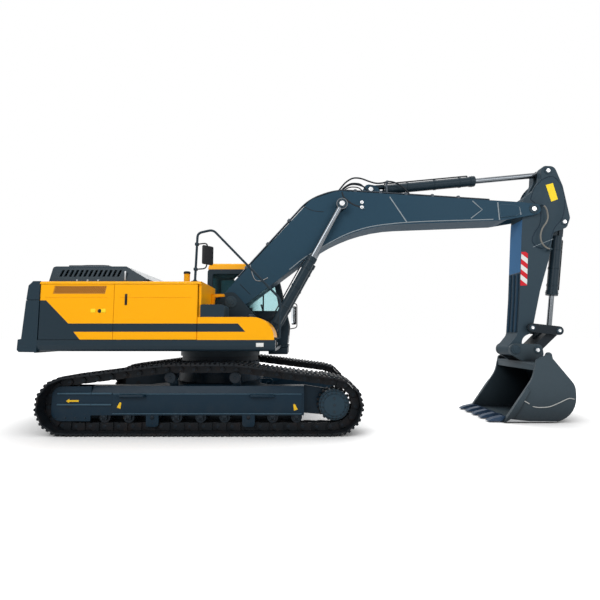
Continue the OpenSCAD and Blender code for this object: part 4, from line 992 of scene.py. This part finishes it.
def makeHoseShelf():
    shape = bmesh.new()
    for y in shelf["rows"]:
        plate(shape, shelf["web"], 0.012, y, 0.003)
    block(shape, shelf["top"], at(*shelf["topAt"]))
    keep(shape, "hoseShelf", yellowPaint, "house")


# frame that carries the cab's front
cabBase = {"size": (0.39, 0.95, 0.14), "place": (1.055, 0.98, 1.175), "flange": 0.01}


def makeCabBase():
    shape = bmesh.new()
    (w, d, h), (x, y, z) = cabBase["size"], cabBase["place"]
    lip = 2 * cabBase["flange"]
    block(shape, (w, d, h), at(x, y, z), 0.015, 3)
    block(shape, (w + lip, d + lip, 0.05), at(x, y, z + h / 2 + 0.024), 0.008)
    keep(shape, "cabBase", slatePaint, "house")


# lower ledge round the counterweight
tail = {"radius": 3.15, "deep": 0.22, "half": 1.488, "low": 1.232, "high": 1.437, "out": 0.05, "front": -2.56}


def makeTailLedge():
    r, low, high, half = tail["radius"], tail["low"], tail["high"], tail["half"]
    inner, outer = r - tail["deep"], r + tail["out"]
    profile = [(inner, low), (r + 0.02, low + 0.004), (outer, low + 0.035), (outer - 0.005, high - 0.01),
               (r - 0.002, high), (inner, high)]
    shape = bmesh.new()
    sweep = 2 * math.asin(half / inner) + 0.02
    c, s = math.cos(sweep / 2), math.sin(sweep / 2)
    end = shape.faces.new([shape.verts.new((-a * c, -a * s, z)) for a, z in profile])
    bmesh.ops.spin(shape, geom=[end], cent=(0, 0, 0), axis=(0, 0, 1), angle=-sweep, steps=28)
    cuts = [((0, -half, 0), (0, -1, 0)), ((0, half, 0), (0, 1, 0)), ((tail["front"], 0, 0), (1, 0, 0))]
    for place, out in cuts:
        everything = shape.verts[:] + shape.edges[:] + shape.faces[:]
        cut = bmesh.ops.bisect_plane(shape, geom=everything, plane_co=place, plane_no=out, clear_outer=True)
        rim = [item for item in cut["geom_cut"] if isinstance(item, bmesh.types.BMEdge)]
        bmesh.ops.edgeloop_fill(shape, edges=rim)
    bmesh.ops.translate(shape, vec=(slewX, 0, 0), verts=shape.verts)
    keep(shape, "tailLedge", castPaint, "house")


makeHandrail()
makeMirrors()
makeExhaust()
makeWorkLamps()
makeHoodMesh()
makeGrilles()
makeFittings()
makeDeckTreads()
makeHoseShelf()
makeCabBase()
makeTailLedge()
print("house trimmed")

# cab inside and out
seat = {"x": 0.23, "y": 0.98, "floor": 1.349, "bellows": 5, "cushion": (0.48, 0.48, 0.1),
        "back": (0.52, 0.47, 0.1), "lean": -102, "crown": 0.022, "channels": (-0.17, 0.17), "fill": 0.7}


def cushion(name, size, place):
    shape = bmesh.new()
    crown = seat["crown"]
    bmesh.ops.create_cube(shape, size=1)
    bmesh.ops.subdivide_edges(shape, edges=shape.edges[:], cuts=6, use_grid_fill=True)
    for vert in shape.verts:
        x, y, z = vert.co * 2
        swell = crown * (1 - x * x) * (1 - y * y) if z > 0.3 else 0
        pinch = 1 - 0.05 * (x * x + y * y) * abs(z) ** 4
        vert.co = (vert.co.x * size[0] * pinch, vert.co.y * size[1] * pinch, vert.co.z * size[2] + swell)
    for y in seat["channels"]:  # sewn
        for vert in shape.verts:
            if vert.co.z > 0 and abs(vert.co.y / size[1] - y) < 0.02:
                vert.co.z -= crown * 0.5
    bmesh.ops.transform(shape, matrix=place, verts=shape.verts)
    piece = keep(shape, name, seatCloth, "house", angle=180)
    smooth = piece.modifiers.new("smooth", "SUBSURF")
    smooth.levels = smooth.render_levels = 2


def makeSeat():
    shape = bmesh.new()
    x, y, floor = seat["x"], seat["y"], seat["floor"]
    block(shape, (0.36, 0.36, 0.03), at(x, y, floor + 0.016), 0.008)
    for k in range(seat["bellows"]):
        waist = 0.02 * (k % 2)
        block(shape, (0.3 - waist, 0.32 - waist, 0.045), at(x, y, floor + 0.055 + 0.044 * k), 0.014)
    block(shape, (0.44, 0.44, 0.03), at(x, y, floor + 0.275), 0.01)
    keep(shape, "seatBase", blackPlastic, "house", replaces=("seat",))
    cushion("seatCushion", seat["cushion"], at(x, y, floor + 0.34))
    lean = Matrix.Rotation(math.radians(seat["lean"]), 4, "Y") @ Matrix.Rotation(math.pi, 4, "X")
    cushion("seatBack", seat["back"], at(x - 0.27, y, floor + 0.64) @ lean)


controls = {"grip": [(0, 0.09), (0.018, 0.088), (0.026, 0.07), (0.024, 0.03), (0.018, 0.0)], "gripX": 0.41,
            "gripY": 0.33, "gripRise": 0.67, "screen": (0.03, 0.2, 0.15), "screenTilt": -0.3,
            "screenAt": (0.72, 0.62, 0.7), "stalk": ((0.72, 0.62, 0.62), (0.78, 0.6, 0.3))}  # above the floor


def makeCabControls():
    shape = bmesh.new()
    floor = seat["floor"]
    for side in bothSides:
        y = seat["y"] + side * controls["gripY"]
        turned(shape, controls["grip"], at(controls["gripX"], y, floor + controls["gripRise"]), 16)
    tilt = Matrix.Rotation(controls["screenTilt"], 4, "Y")
    x, y, z = controls["screenAt"]
    block(shape, controls["screen"], at(x, y, floor + z) @ tilt, 0.012)
    tube(shape, [spot(x, y, floor + z) for x, y, z in controls["stalk"]], 0.012)
    keep(shape, "cabControls", blackPlastic, "house")


sidePanel = {"y": 0.482, "thick": 0.014, "bar": (0.75, 2.35), "barHeight": 0.75,
             "sill": [(0.2, 1.69), (1.21, 1.69), (1.21, 1.96), (1.17, 1.985), (0.2, 1.985)]}


def makeCabSidePanel():
    shape = bmesh.new()
    y, thick, (barX, barZ) = sidePanel["y"], sidePanel["thick"], sidePanel["bar"]
    plate(shape, sidePanel["sill"], thick, y, 0.004)
    block(shape, (0.03, thick, sidePanel["barHeight"]), at(barX, y, barZ), 0.005)
    keep(shape, "cabSidePanel", slatePaint, "house")


# loops on the door: bend, radius and path
doorLoops = [
    (0.014, 0.008, [(0.985, 1.478, 1.95), (0.985, 1.505, 1.95), (1.055, 1.505, 1.95), (1.055, 1.478, 1.95)]),
    (0.03, 0.011, [(0.3, 1.473, 1.55), (0.3, 1.52, 1.55), (0.3, 1.52, 1.72), (0.3, 1.473, 1.72)]),
]
doorPlate = {"size": (0.11, 0.014, 0.05), "place": (1.02, 1.478, 1.95)}


def makeCabDoorHandle():
    shape = bmesh.new()
    block(shape, doorPlate["size"], at(*doorPlate["place"]), 0.005)
    for bend, radius, path in doorLoops:
        tube(shape, filleted([spot(*p) for p in path], bend), radius)
    keep(shape, "cabDoorHandle", blackPlastic, "cab_door")


makeSeat()
makeCabControls()
makeCabSidePanel()
makeCabDoorHandle()
print("cab trimmed")


# working equipment: pin caps, pipes, hoses, seams with a painted highlight, and plates
pins = {
    "foot": (0.227, 2.102), "arm": (5.93, 3.875), "bucket": (5.46, 1.23), "boomBarrel": (0.946, 1.495),
    "boomRod": (2.282, 3.931), "armBarrel": (2.876, 4.316), "armRod": (6.27, 4.645),
    "bucketBarrel": (6.53, 3.64), "bucketRod": (6.245, 1.575), "guide": (5.753, 1.63), "link": (5.861, 1.221),
}
boomSide, armSide = 0.26, 0.205  # half widths


def atPin(name, y, dx=0.0, dz=0.0):
    x, z = pins[name]
    return at(x + dx, y, z + dz)


bare, overpainted = 0, 1
# pin, face it lies on, radius, radius of its collar and finish
pinCaps = {
    "boom": [("arm", boomSide, 0.044, 0.09, bare), ("armBarrel", 0.096, 0.045, 0.07, bare)],
    "boom_rods": [("boomRod", 0.41, 0.05, 0.09, bare)],
    "arm": [("armRod", armSide, 0.039, 0.07, bare), ("bucketBarrel", armSide, 0.038, 0.066, bare),
            ("guide", 0.317, 0.03, 0.056, bare), ("bucket", 0.261, 0.05, 0.085, overpainted)],
    "guide_links": [("bucketRod", 0.317, 0.03, 0.056, bare)],
    "bucket": [("link", 0.261, 0.036, 0.064, bare)],
    "house": [("foot", 0.314, 0.062, 0.11, overpainted), ("boomBarrel", 0.432, 0.045, 0.07, overpainted)],
}


def makePinCaps():
    for body, caps in pinCaps.items():
        shape = bmesh.new()
        for pin, face, r, collar, finish in caps:
            x, z = pins[pin]
            ring = [(r, 0.012), (collar - 0.006, 0.012), (collar, 0.007), (collar, 0.0), (r, 0.0)]
            cap = [(0, 0.024), (r * 0.3, 0.024), (r * 0.34, 0.02), (r * 0.88, 0.022), (r, 0.016), (r, 0)]
            for side in bothSides:
                place = outward(x, side * face, z)
                turned(shape, ring, place, 28, 1)
                turned(shape, cap, place, 24, finish)
                head = scratchMesh(boltPart(0.009, 0.009), 1)
                middle = (r + collar) / 2
                for k in range(3):
                    a = 2 * math.pi * k / 3 + 0.5
                    stamp(shape, head, place @ shift(middle * math.cos(a), middle * math.sin(a), 0.011))
        keep(shape, body + ".pinCaps", [pinSteel, armPaint], body)


pipes = {
    "rows": (0.14, 0.19), "middle": 0.165, "radius": 0.014, "bend": 0.25,
    "clamps": (2.557, 3.04, 3.527, 4.03, 4.527), "clampBolts": (0.128, 0.202),
    "slopeClamps": (0.12, 0.42, 0.72), "slope": -48, "clamp": (0.06, 0.11, 0.06),
    "post": ((0.035, 0.022, 0.24), 3.17, 4.32), "postHead": ((0.05, 0.05, 0.045), 3.18, 4.44),
    "path": [(0.33, 2.581), (1.667, 4.086), (2.207, 4.278), (5.127, 4.083)],
    "coupling": [(0, 0.09), (0.017, 0.09), (0.022, 0.084), (0.022, 0.03), (0.018, 0.0)],
    "boomTop": ((1.985, 2.128), (5.503, 1.903)),  # ends of the top plate, from the foot pin
    "plugs": (2.67, (3.995, 3.9)),  # x, then heights
    "plug": [(0, 0.06), (0.02, 0.06), (0.026, 0.054), (0.026, 0.03), (0.034, 0.028), (0.034, 0)],
}
boomHoses = {
    "arch": [(2.246, 4.262), (2.307, 4.342), (2.387, 4.432), (2.497, 4.502), (2.597, 4.517), (2.707, 4.497),
             (2.837, 4.447), (2.967, 4.412), (3.087, 4.417), (3.187, 4.442), (3.287, 4.437), (3.397, 4.392),
             (3.497, 4.322), (3.577, 4.232), (3.617, 4.172)],
    "inner": {"y": 0.1, "start": (2.26, 4.245), "under": (0.03, 0.08), "end": [(2.76, 4.34), (2.8, 4.3)]},
    "side": [(2.3, 4.2), (2.32, 4.11), (2.474, 3.97), (2.66, 3.905)], "flat": 0.35,
    "loop": [(0.565, 2.8), (0.583, 2.746), (0.611, 2.632), (0.668, 2.519), (0.772, 2.5), (0.9, 2.56)],
    "grooves": [[(1.55, 3.93), (1.623, 3.895), (1.759, 3.837), (1.952, 3.817)],
                [(0.383, 2.436), (0.579, 2.241)]],
}


def boomTop(x):  # height of the boom's top plate
    (x0, z0), (x1, z1) = pipes["boomTop"]
    return pins["foot"][1] + z0 + (x - pins["foot"][0] - x0) * (z1 - z0) / (x1 - x0)


def addPipes(shape, side):
    middle = side * pipes["middle"]
    for y in pipes["rows"]:
        path = route(pipes["path"], side * y)
        tube(shape, filleted(path, pipes["bend"], 8), pipes["radius"])
        turned(shape, pipes["coupling"], facing(path[0], path[0] - path[1]), 16, 3)
    start, end = route(pipes["path"][:2], middle)
    slope = Matrix.Rotation(math.radians(pipes["slope"]), 4, "Y")
    for t in pipes["slopeClamps"]:
        block(shape, pipes["clamp"], Matrix.Translation(start + (end - start) * t) @ slope, 0.008)


def addClamps(shape, side):
    middle = side * pipes["middle"]
    for x in pipes["clamps"]:
        z = boomTop(x)
        block(shape, (0.06, 0.11, 0.066), at(x, middle, z + 0.033), 0.008)
        for y in pipes["clampBolts"]:
            join(shape, boltPart(0.008, 0.008), at(x, side * y, z + 0.066), 2)
    for name, bevel in (("post", 0.005), ("postHead", 0.01)):  # under the arch
        size, x, z = pipes[name]
        block(shape, size, at(x, middle, z), bevel)


def makeBoomPipes():
    shape = bmesh.new()
    arch, inner = boomHoses["arch"], boomHoses["inner"]
    dx, dz = inner["under"]
    low = [inner["start"]] + [(x - dx, z - dz) for x, z in arch[1:6]] + inner["end"]
    for side in bothSides:
        addPipes(shape, side)
        tube(shape, curvePoints(route(arch, side * pipes["middle"])), 0.016, finish=1)
        tube(shape, curvePoints(route(low, side * inner["y"])), 0.012, finish=1)
        addClamps(shape, side)
        flat = shift(0, side * (boomSide + 0.0005), 0) @ Matrix.Diagonal((1, boomHoses["flat"], 1, 1))
        tube(shape, filleted(route(boomHoses["side"], 0), 0.08), 0.016, 12, flat, 1)
        tube(shape, curvePoints(route(boomHoses["loop"], side * (boomSide + 0.006))), 0.007, 8, finish=2)
        plugX, plugHeights = pipes["plugs"]
        for z in plugHeights:
            turned(shape, pipes["plug"], outward(plugX, side * boomSide, z), 16, 3)
        for groove in boomHoses["grooves"]:
            tube(shape, curvePoints(route(groove, side * (boomSide - 0.0005))), 0.006, 8, finish=1)
    keep(shape, "boomPipes", [pipeSteel, hoseRubber, boltZinc, pinSteel], "boom",
         replaces=("boom_pipes",))


# weld seams whose light colour is a painted highlight; face they lie on, then radius and path of each
seamHighlights = {
    "boom": (boomSide, [
        (0.009, [(1.3, 2.71), (1.684, 3.0), (2.487, 3.43), (3.383, 3.603), (5.15, 3.672)]),
        (0.012, [(3.203, 4.105), (3.52, 3.61)]),
        (0.012, [(5.248, 4.0), (5.269, 3.66)]),
        (0.012, [(5.649, 3.91), (5.678, 3.76)]),
        (0.01, [(4.77, 4.03), (4.95, 3.86), (4.73, 3.69)]),
    ]),
    "arm": (armSide, [(0.006, [(5.907, 3.153), (6.294, 3.307)])]),
    "bucket": (0.68, [
        (0.008, [(5.29, 0.4), (5.423, 0.322)]),
        (0.008, [(5.479, 0.278), (5.584, 0.262), (5.764, 0.275), (5.932, 0.338), (6.1, 0.411),
                 (6.197, 0.402)]),
    ]),
}


def makeSeamHighlights():
    for body, (face, paths) in seamHighlights.items():
        shape = bmesh.new()
        for side in bothSides:
            for radius, path in paths:
                line = route(path, side * face)
                tube(shape, curvePoints(line, 6) if len(line) > 3 else line, radius, 8)
        keep(shape, body + ".seams", weldHighlightPaint if body == "bucket" else seamHighlightPaint, body)


tipPanel = [(5.29, 3.71), (5.6, 3.745), (5.66, 3.8), (5.64, 3.92), (5.56, 3.945), (5.275, 3.965)]


def makeTipPanel():
    shape = bmesh.new()
    for side in bothSides:
        plate(shape, tipPanel, 0.016, side * (boomSide + 0.004), 0.006, 3)
        # the rim is a painted highlight round the panel
        rim = route(tipPanel + tipPanel[:2], side * (boomSide + 0.01))
        tube(shape, filleted(rim, 0.03), 0.006, 8, finish=1)
    keep(shape, "boomTipPanel", [boomPaint, ribHighlightPaint], "boom")


# plates on the arm, from its pin
armPlates = {
    "groove": (0.011, 0.35),  # radius and flatness
    "doubler": [(-0.02, 0.2), (0.06, 0.42), (0.24, 0.6), (0.42, 0.655), (0.54, 0.55), (0.62, 0.34),
                (0.625, 0.12), (0.56, -0.16), (0.42, -0.33), (0.34, -0.5), (0.29, -0.66), (0.18, -0.74),
                (0.05, -0.72), (-0.03, -0.6), (0.02, -0.45), (0.12, -0.3), (0.16, -0.12), (0.14, 0.05)],
    "tag": [(0.28, 0.485), (0.42, 0.525), (0.5, 0.205), (0.37, 0.155)],
    # front face: the upper plate carries a painted sky reflection, the lower one is darker as painted shade
    "upper": [(-0.195, -0.2), (-0.222, -0.47), (-0.281, -1.2), (-0.2875, -1.2), (-0.2285, -0.47),
              (-0.202, -0.2)],
    "lower": [(-0.281, -1.2), (-0.32, -1.692), (-0.387, -2.33), (-0.3935, -2.33), (-0.3265, -1.692),
              (-0.2875, -1.2)],
    "rib": [(-0.28, -1.2), (-0.308, -1.225), (-0.344, -1.692), (-0.41, -2.325), (-0.385, -2.33),
            (-0.318, -1.692)],
    "ribRows": (-0.13, 0, 0.13), "ribWidth": 0.05, "width": 0.404,
}
bands = {"top": -0.815, "low": -1.456, "first": -0.752, "height": 0.098, "width": 0.127, "count": 7,
         "over": 0.1}
armLine = {"x": -0.221, "z": -0.48, "slope": 0.098 / 1.212}


def armEdge(z):  # x of the arm's front edge
    return armLine["x"] - armLine["slope"] * (armLine["z"] - z)


def cropped(outline, low, high):  # the outline between two heights
    for limit, sign in ((low, 1), (high, -1)):
        kept = []
        for (x0, z0), (x1, z1) in zip(outline, outline[1:] + outline[:1]):
            if sign * (z0 - limit) >= 0:
                kept.append((x0, z0))
            if (z0 - limit) * (z1 - limit) < 0:
                kept.append((x0 + (x1 - x0) * (limit - z0) / (z1 - z0), limit))
        outline = kept
    return outline


def makeArmDoubler():
    shape = bmesh.new()
    outline = armPlates["doubler"]
    radius, flat = armPlates["groove"]
    groove = curvePoints([(x, 0, z) for x, z in outline + outline[:1]], 4)
    for side in bothSides:
        place = atPin("arm", side * (armSide + 0.0015))
        slab(shape, outline, 0.004, place, 0.001)
        tube(shape, groove, radius, 8, place @ Matrix.Diagonal((1, flat, 1, 1)), 1)
    keep(shape, "armDoubler", [armPaint, framePaint], "arm")


def makeArmTags():
    shape = bmesh.new()
    for side in bothSides:
        slab(shape, armPlates["tag"], 0.003, atPin("arm", side * (armSide + 0.0043)))
    keep(shape, "armTags", tagYellow, "arm")


def makeArmBands():
    shape = bmesh.new()
    tall, wide, last = bands["height"], bands["width"], bands["count"] - 1
    for side in bothSides:
        for k in range(bands["count"]):
            z0 = bands["first"] - tall * k
            z1 = z0 - tall - (bands["over"] if k == last else 0)
            outline = [(armEdge(z0), z0), (armEdge(z0 - tall) + wide, z0 - tall),
                       (armEdge(z1 - tall) + wide, z1 - tall), (armEdge(z1), z1)]
            place = atPin("arm", side * (armSide + 0.0015))
            slab(shape, cropped(outline, bands["low"], bands["top"]), 0.004, place, finish=k % 2)
    keep(shape, "armBands", [bandRed, plateWhite], "arm")


def makeArmFaceReflection():
    shape = bmesh.new()
    # ribs in lighter paint, a painted highlight
    for y in armPlates["ribRows"]:
        slab(shape, armPlates["rib"], armPlates["ribWidth"], atPin("arm", y), 0.004, 1)
    # upper plate with the painted reflection, lower plate darker as painted shade
    for finish, half in ((0, "upper"), (2, "lower")):
        slab(shape, armPlates[half], armPlates["width"], atPin("arm", 0), finish=finish)
    keep(shape, "armFaceReflection", [armSkyReflection, armRibHighlight, framePaint], "arm")


armHose = {
    "y": 0.287, "radius": 0.014,
    "route": [(0.16, 0.07), (0.205, 0.02), (0.232, -0.06), (0.238, -0.17), (0.205, -0.27), (0.145, -0.35),
              (0.105, -0.43), (0.082, -0.53), (0.09, -0.63), (0.135, -0.71), (0.2, -0.762), (0.262, -0.78)],
    "end": [(0.0, 0.1), (0.018, 0.1), (0.022, 0.094), (0.022, 0.06), (0.016, 0.055), (0.016, 0.02),
            (0.026, 0.018), (0.026, 0.0)],
}


def makeArmHose():
    shape = bmesh.new()
    pinX, pinZ = pins["arm"]
    points = [(pinX + x, pinZ + z) for x, z in armHose["route"]]
    for side in bothSides:
        # the hose's light grey stands in for its highlight
        tube(shape, curvePoints(route(points, side * armHose["y"]), 6), armHose["radius"])
        for x, z in (points[0], points[-1]):
            turned(shape, armHose["end"], outward(x, side * (armSide + 0.001), z), 16, 1)
    keep(shape, "armHoses", [hoseGrey, armPaint], "arm", replaces=("arm_hose",))


# pins, length, radius, rows, and 1 or -1 for the pipe above or below
barrels = {
    "boom_barrels": ("boomBarrel", "boomRod", 1.63, 0.088, (0.365, -0.365), 1),
    "arm_barrel": ("armBarrel", "armRod", 2.06, 0.092, (0,), 1),
    "bucket_barrel": ("bucketBarrel", "bucketRod", 1.4, 0.095, (0,), -1),
}
barrelTrim = {"rings": (0.36, 0.62, 0.86), "screws": 8, "gland": 0.045, "pipeFrom": 0.3, "pipeTo": 0.12,
              "lift": 0.026}


def makeBarrelTrim():
    for body, (start, end, length, radius, rows, turn) in barrels.items():
        shape = bmesh.new()
        (x0, z0), (x1, z1) = pins[start], pins[end]
        along, across = Vector((x1 - x0, 0, z1 - z0)).normalized(), Vector((0, 1, 0))
        up = along.cross(across)
        up = turn * (up if up.z > 0 else -up)
        skin, proud = radius + 0.001, radius + 0.008
        ring = [(skin, -0.02), (proud, -0.018), (proud, 0.018), (skin, 0.02), (skin, -0.02)]
        for y in rows:
            base = spot(x0, y, z0)
            head = scratchMesh(boltPart(0.01, 0.005), 1)
            for k in range(barrelTrim["screws"]):
                a = 2 * math.pi * (k + 0.5) / barrelTrim["screws"]
                out = across * math.cos(a) + up * math.sin(a)
                place = base + along * (length - barrelTrim["gland"]) + out * (radius + 0.009)
                stamp(shape, head, facing(place, out))
            for t in barrelTrim["rings"]:
                turned(shape, ring, facing(base + along * length * t, along), 32)
            lift, sunk = up * (radius + barrelTrim["lift"]), up * radius * 0.9
            low, high = base + along * barrelTrim["pipeFrom"], base + along * (length - barrelTrim["pipeTo"])
            pipe = [low + sunk, low + lift, high + lift, high + sunk]
            tube(shape, filleted(pipe, 0.05), 0.013, 10, finish=2)
        keep(shape, body + ".trim", [slatePaint, boltDark, linkPaint], body)


# plates on the bucket, from its pin
bucketPlates = {
    "cutter": [(-0.486, -1.205), (-0.36, -1.205), (-0.2, -0.98), (-0.02, -0.68), (-0.07, -0.64),
               (-0.17, -0.765)],
    # bright strip along the lower edge, a painted highlight
    "strip": [(-0.45, -1.207), (0.4, -1.207), (0.4, -1.197), (-0.06, -1.194), (-0.38, -1.16)],
    "brow": [(0.106, -0.256), (0.3, -0.256), (0.22, -0.345), (0.098, -0.345)], "browWidth": 1.284,
    "lugRadius": 0.055, "lugFoot": (0.07, -0.09), "lugAt": (0.385, -0.09),
    "cutterY": 0.692, "stripY": 0.697, "lugY": 0.6,
}


def makeBucketTrim():
    shape = bmesh.new()
    r, (footX, footZ) = bucketPlates["lugRadius"], bucketPlates["lugFoot"]
    crown = [(r * math.cos(a), r * math.sin(a)) for a in (math.pi * (1 - k / 10) for k in range(11))]
    lug = [(-footX, footZ)] + crown + [(footX, footZ)]
    for side in bothSides:
        slab(shape, bucketPlates["cutter"], 0.024, atPin("bucket", side * bucketPlates["cutterY"]), 0.005)
        # the bright strip is a painted highlight on the lower edge
        slab(shape, bucketPlates["strip"], 0.018, atPin("bucket", side * bucketPlates["stripY"]), 0.003, 1)
        slab(shape, lug, 0.045, atPin("bucket", side * bucketPlates["lugY"], *bucketPlates["lugAt"]), 0.008)
    slab(shape, bucketPlates["brow"], bucketPlates["browWidth"], atPin("bucket", 0), 0.012)
    keep(shape, "bucketTrim", [bucketPaint, boltZinc], "bucket")


makePinCaps()
makeBoomPipes()
makeSeamHighlights()
makeTipPanel()
makeArmDoubler()
makeArmTags()
makeArmBands()
makeArmFaceReflection()
makeArmHose()
makeBarrelTrim()
makeBucketTrim()
print("working equipment trimmed")


# studio
studio = {"floor": 120, "floorTint": 0.82, "floorGlow": 0.68, "shade": 2.0, "shadeCurve": 2.5, "sky": 0.42}
white = (1, 1, 1, 1)


def seenRays(tree):  # what the camera sees, straight, mirrored or through glass
    rays = tree.nodes.new("ShaderNodeLightPath").outputs
    straight = calc(tree, "MAXIMUM", rays["Is Camera Ray"], rays["Is Glossy Ray"])
    return calc(tree, "MAXIMUM", straight, rays["Is Transmission Ray"])


def makeFloor():
    shape = bmesh.new()
    bmesh.ops.create_grid(shape, x_segments=2, y_segments=2, size=studio["floor"])
    data = bpy.data.meshes.new("floor")
    shape.to_mesh(data)
    shape.free()
    floor = bpy.data.objects.new("floor", data)
    scene.collection.objects.link(floor)
    material, tree, shader, where = newMaterial("paleFloor")
    tint = studio["floorTint"]
    # painted shadow: the floor's glow fades where the machine hides the sky, so it darkens under and round it
    hollow = daylight(tree, studio["shade"], 8)
    glow = times(tree, calc(tree, "POWER", hollow, studio["shadeCurve"]), studio["floorGlow"])
    feed(tree, shader, {
        "Base Color": spread(tree, cloud(tree, where, 0.6, 4), tint - 0.01, tint + 0.01),
        "Roughness": 0.9, "Specular IOR Level": 0.1,
        "Emission Color": white, "Emission Strength": times(tree, seenRays(tree), glow),
    })
    data.materials.append(material)


def makeSky():
    world = bpy.data.worlds.new("studioSky")
    world.use_nodes = True
    tree = world.node_tree
    power = plus(tree, times(tree, seenRays(tree), 1 - studio["sky"]), studio["sky"])
    feed(tree, tree.nodes["Background"], {"Color": white, "Strength": power})
    scene.world = world


softboxes = [
    {"name": "keyBox", "place": (-7, -13, 11), "aim": (0, 0, 1.6), "size": (10, 7), "power": 1150},
    {"name": "fillBox", "place": (9, -11, 7), "aim": (1, 0, 1.6), "size": (8, 6), "power": 450},
    {"name": "topBox", "place": (0, 2, 14), "aim": (0, 0, 0), "size": (14, 10), "power": 660},
    {"name": "backBox", "place": (-4, 13, 9), "aim": (0, 0, 1.5), "size": (10, 7), "power": 520},
]


def makeLamps():
    for box in softboxes:
        data = bpy.data.lights.new(box["name"], "AREA")
        data.shape = "RECTANGLE"
        data.size, data.size_y = box["size"]
        data.energy = box["power"]
        lamp = bpy.data.objects.new(box["name"], data)
        lamp.location = box["place"]
        lamp.rotation_euler = (Vector(box["aim"]) - Vector(box["place"])).to_track_quat("-Z", "Y").to_euler()
        scene.collection.objects.link(lamp)


makeFloor()
makeSky()
makeLamps()
scene.view_settings.view_transform = "Standard"
print("studio ready")
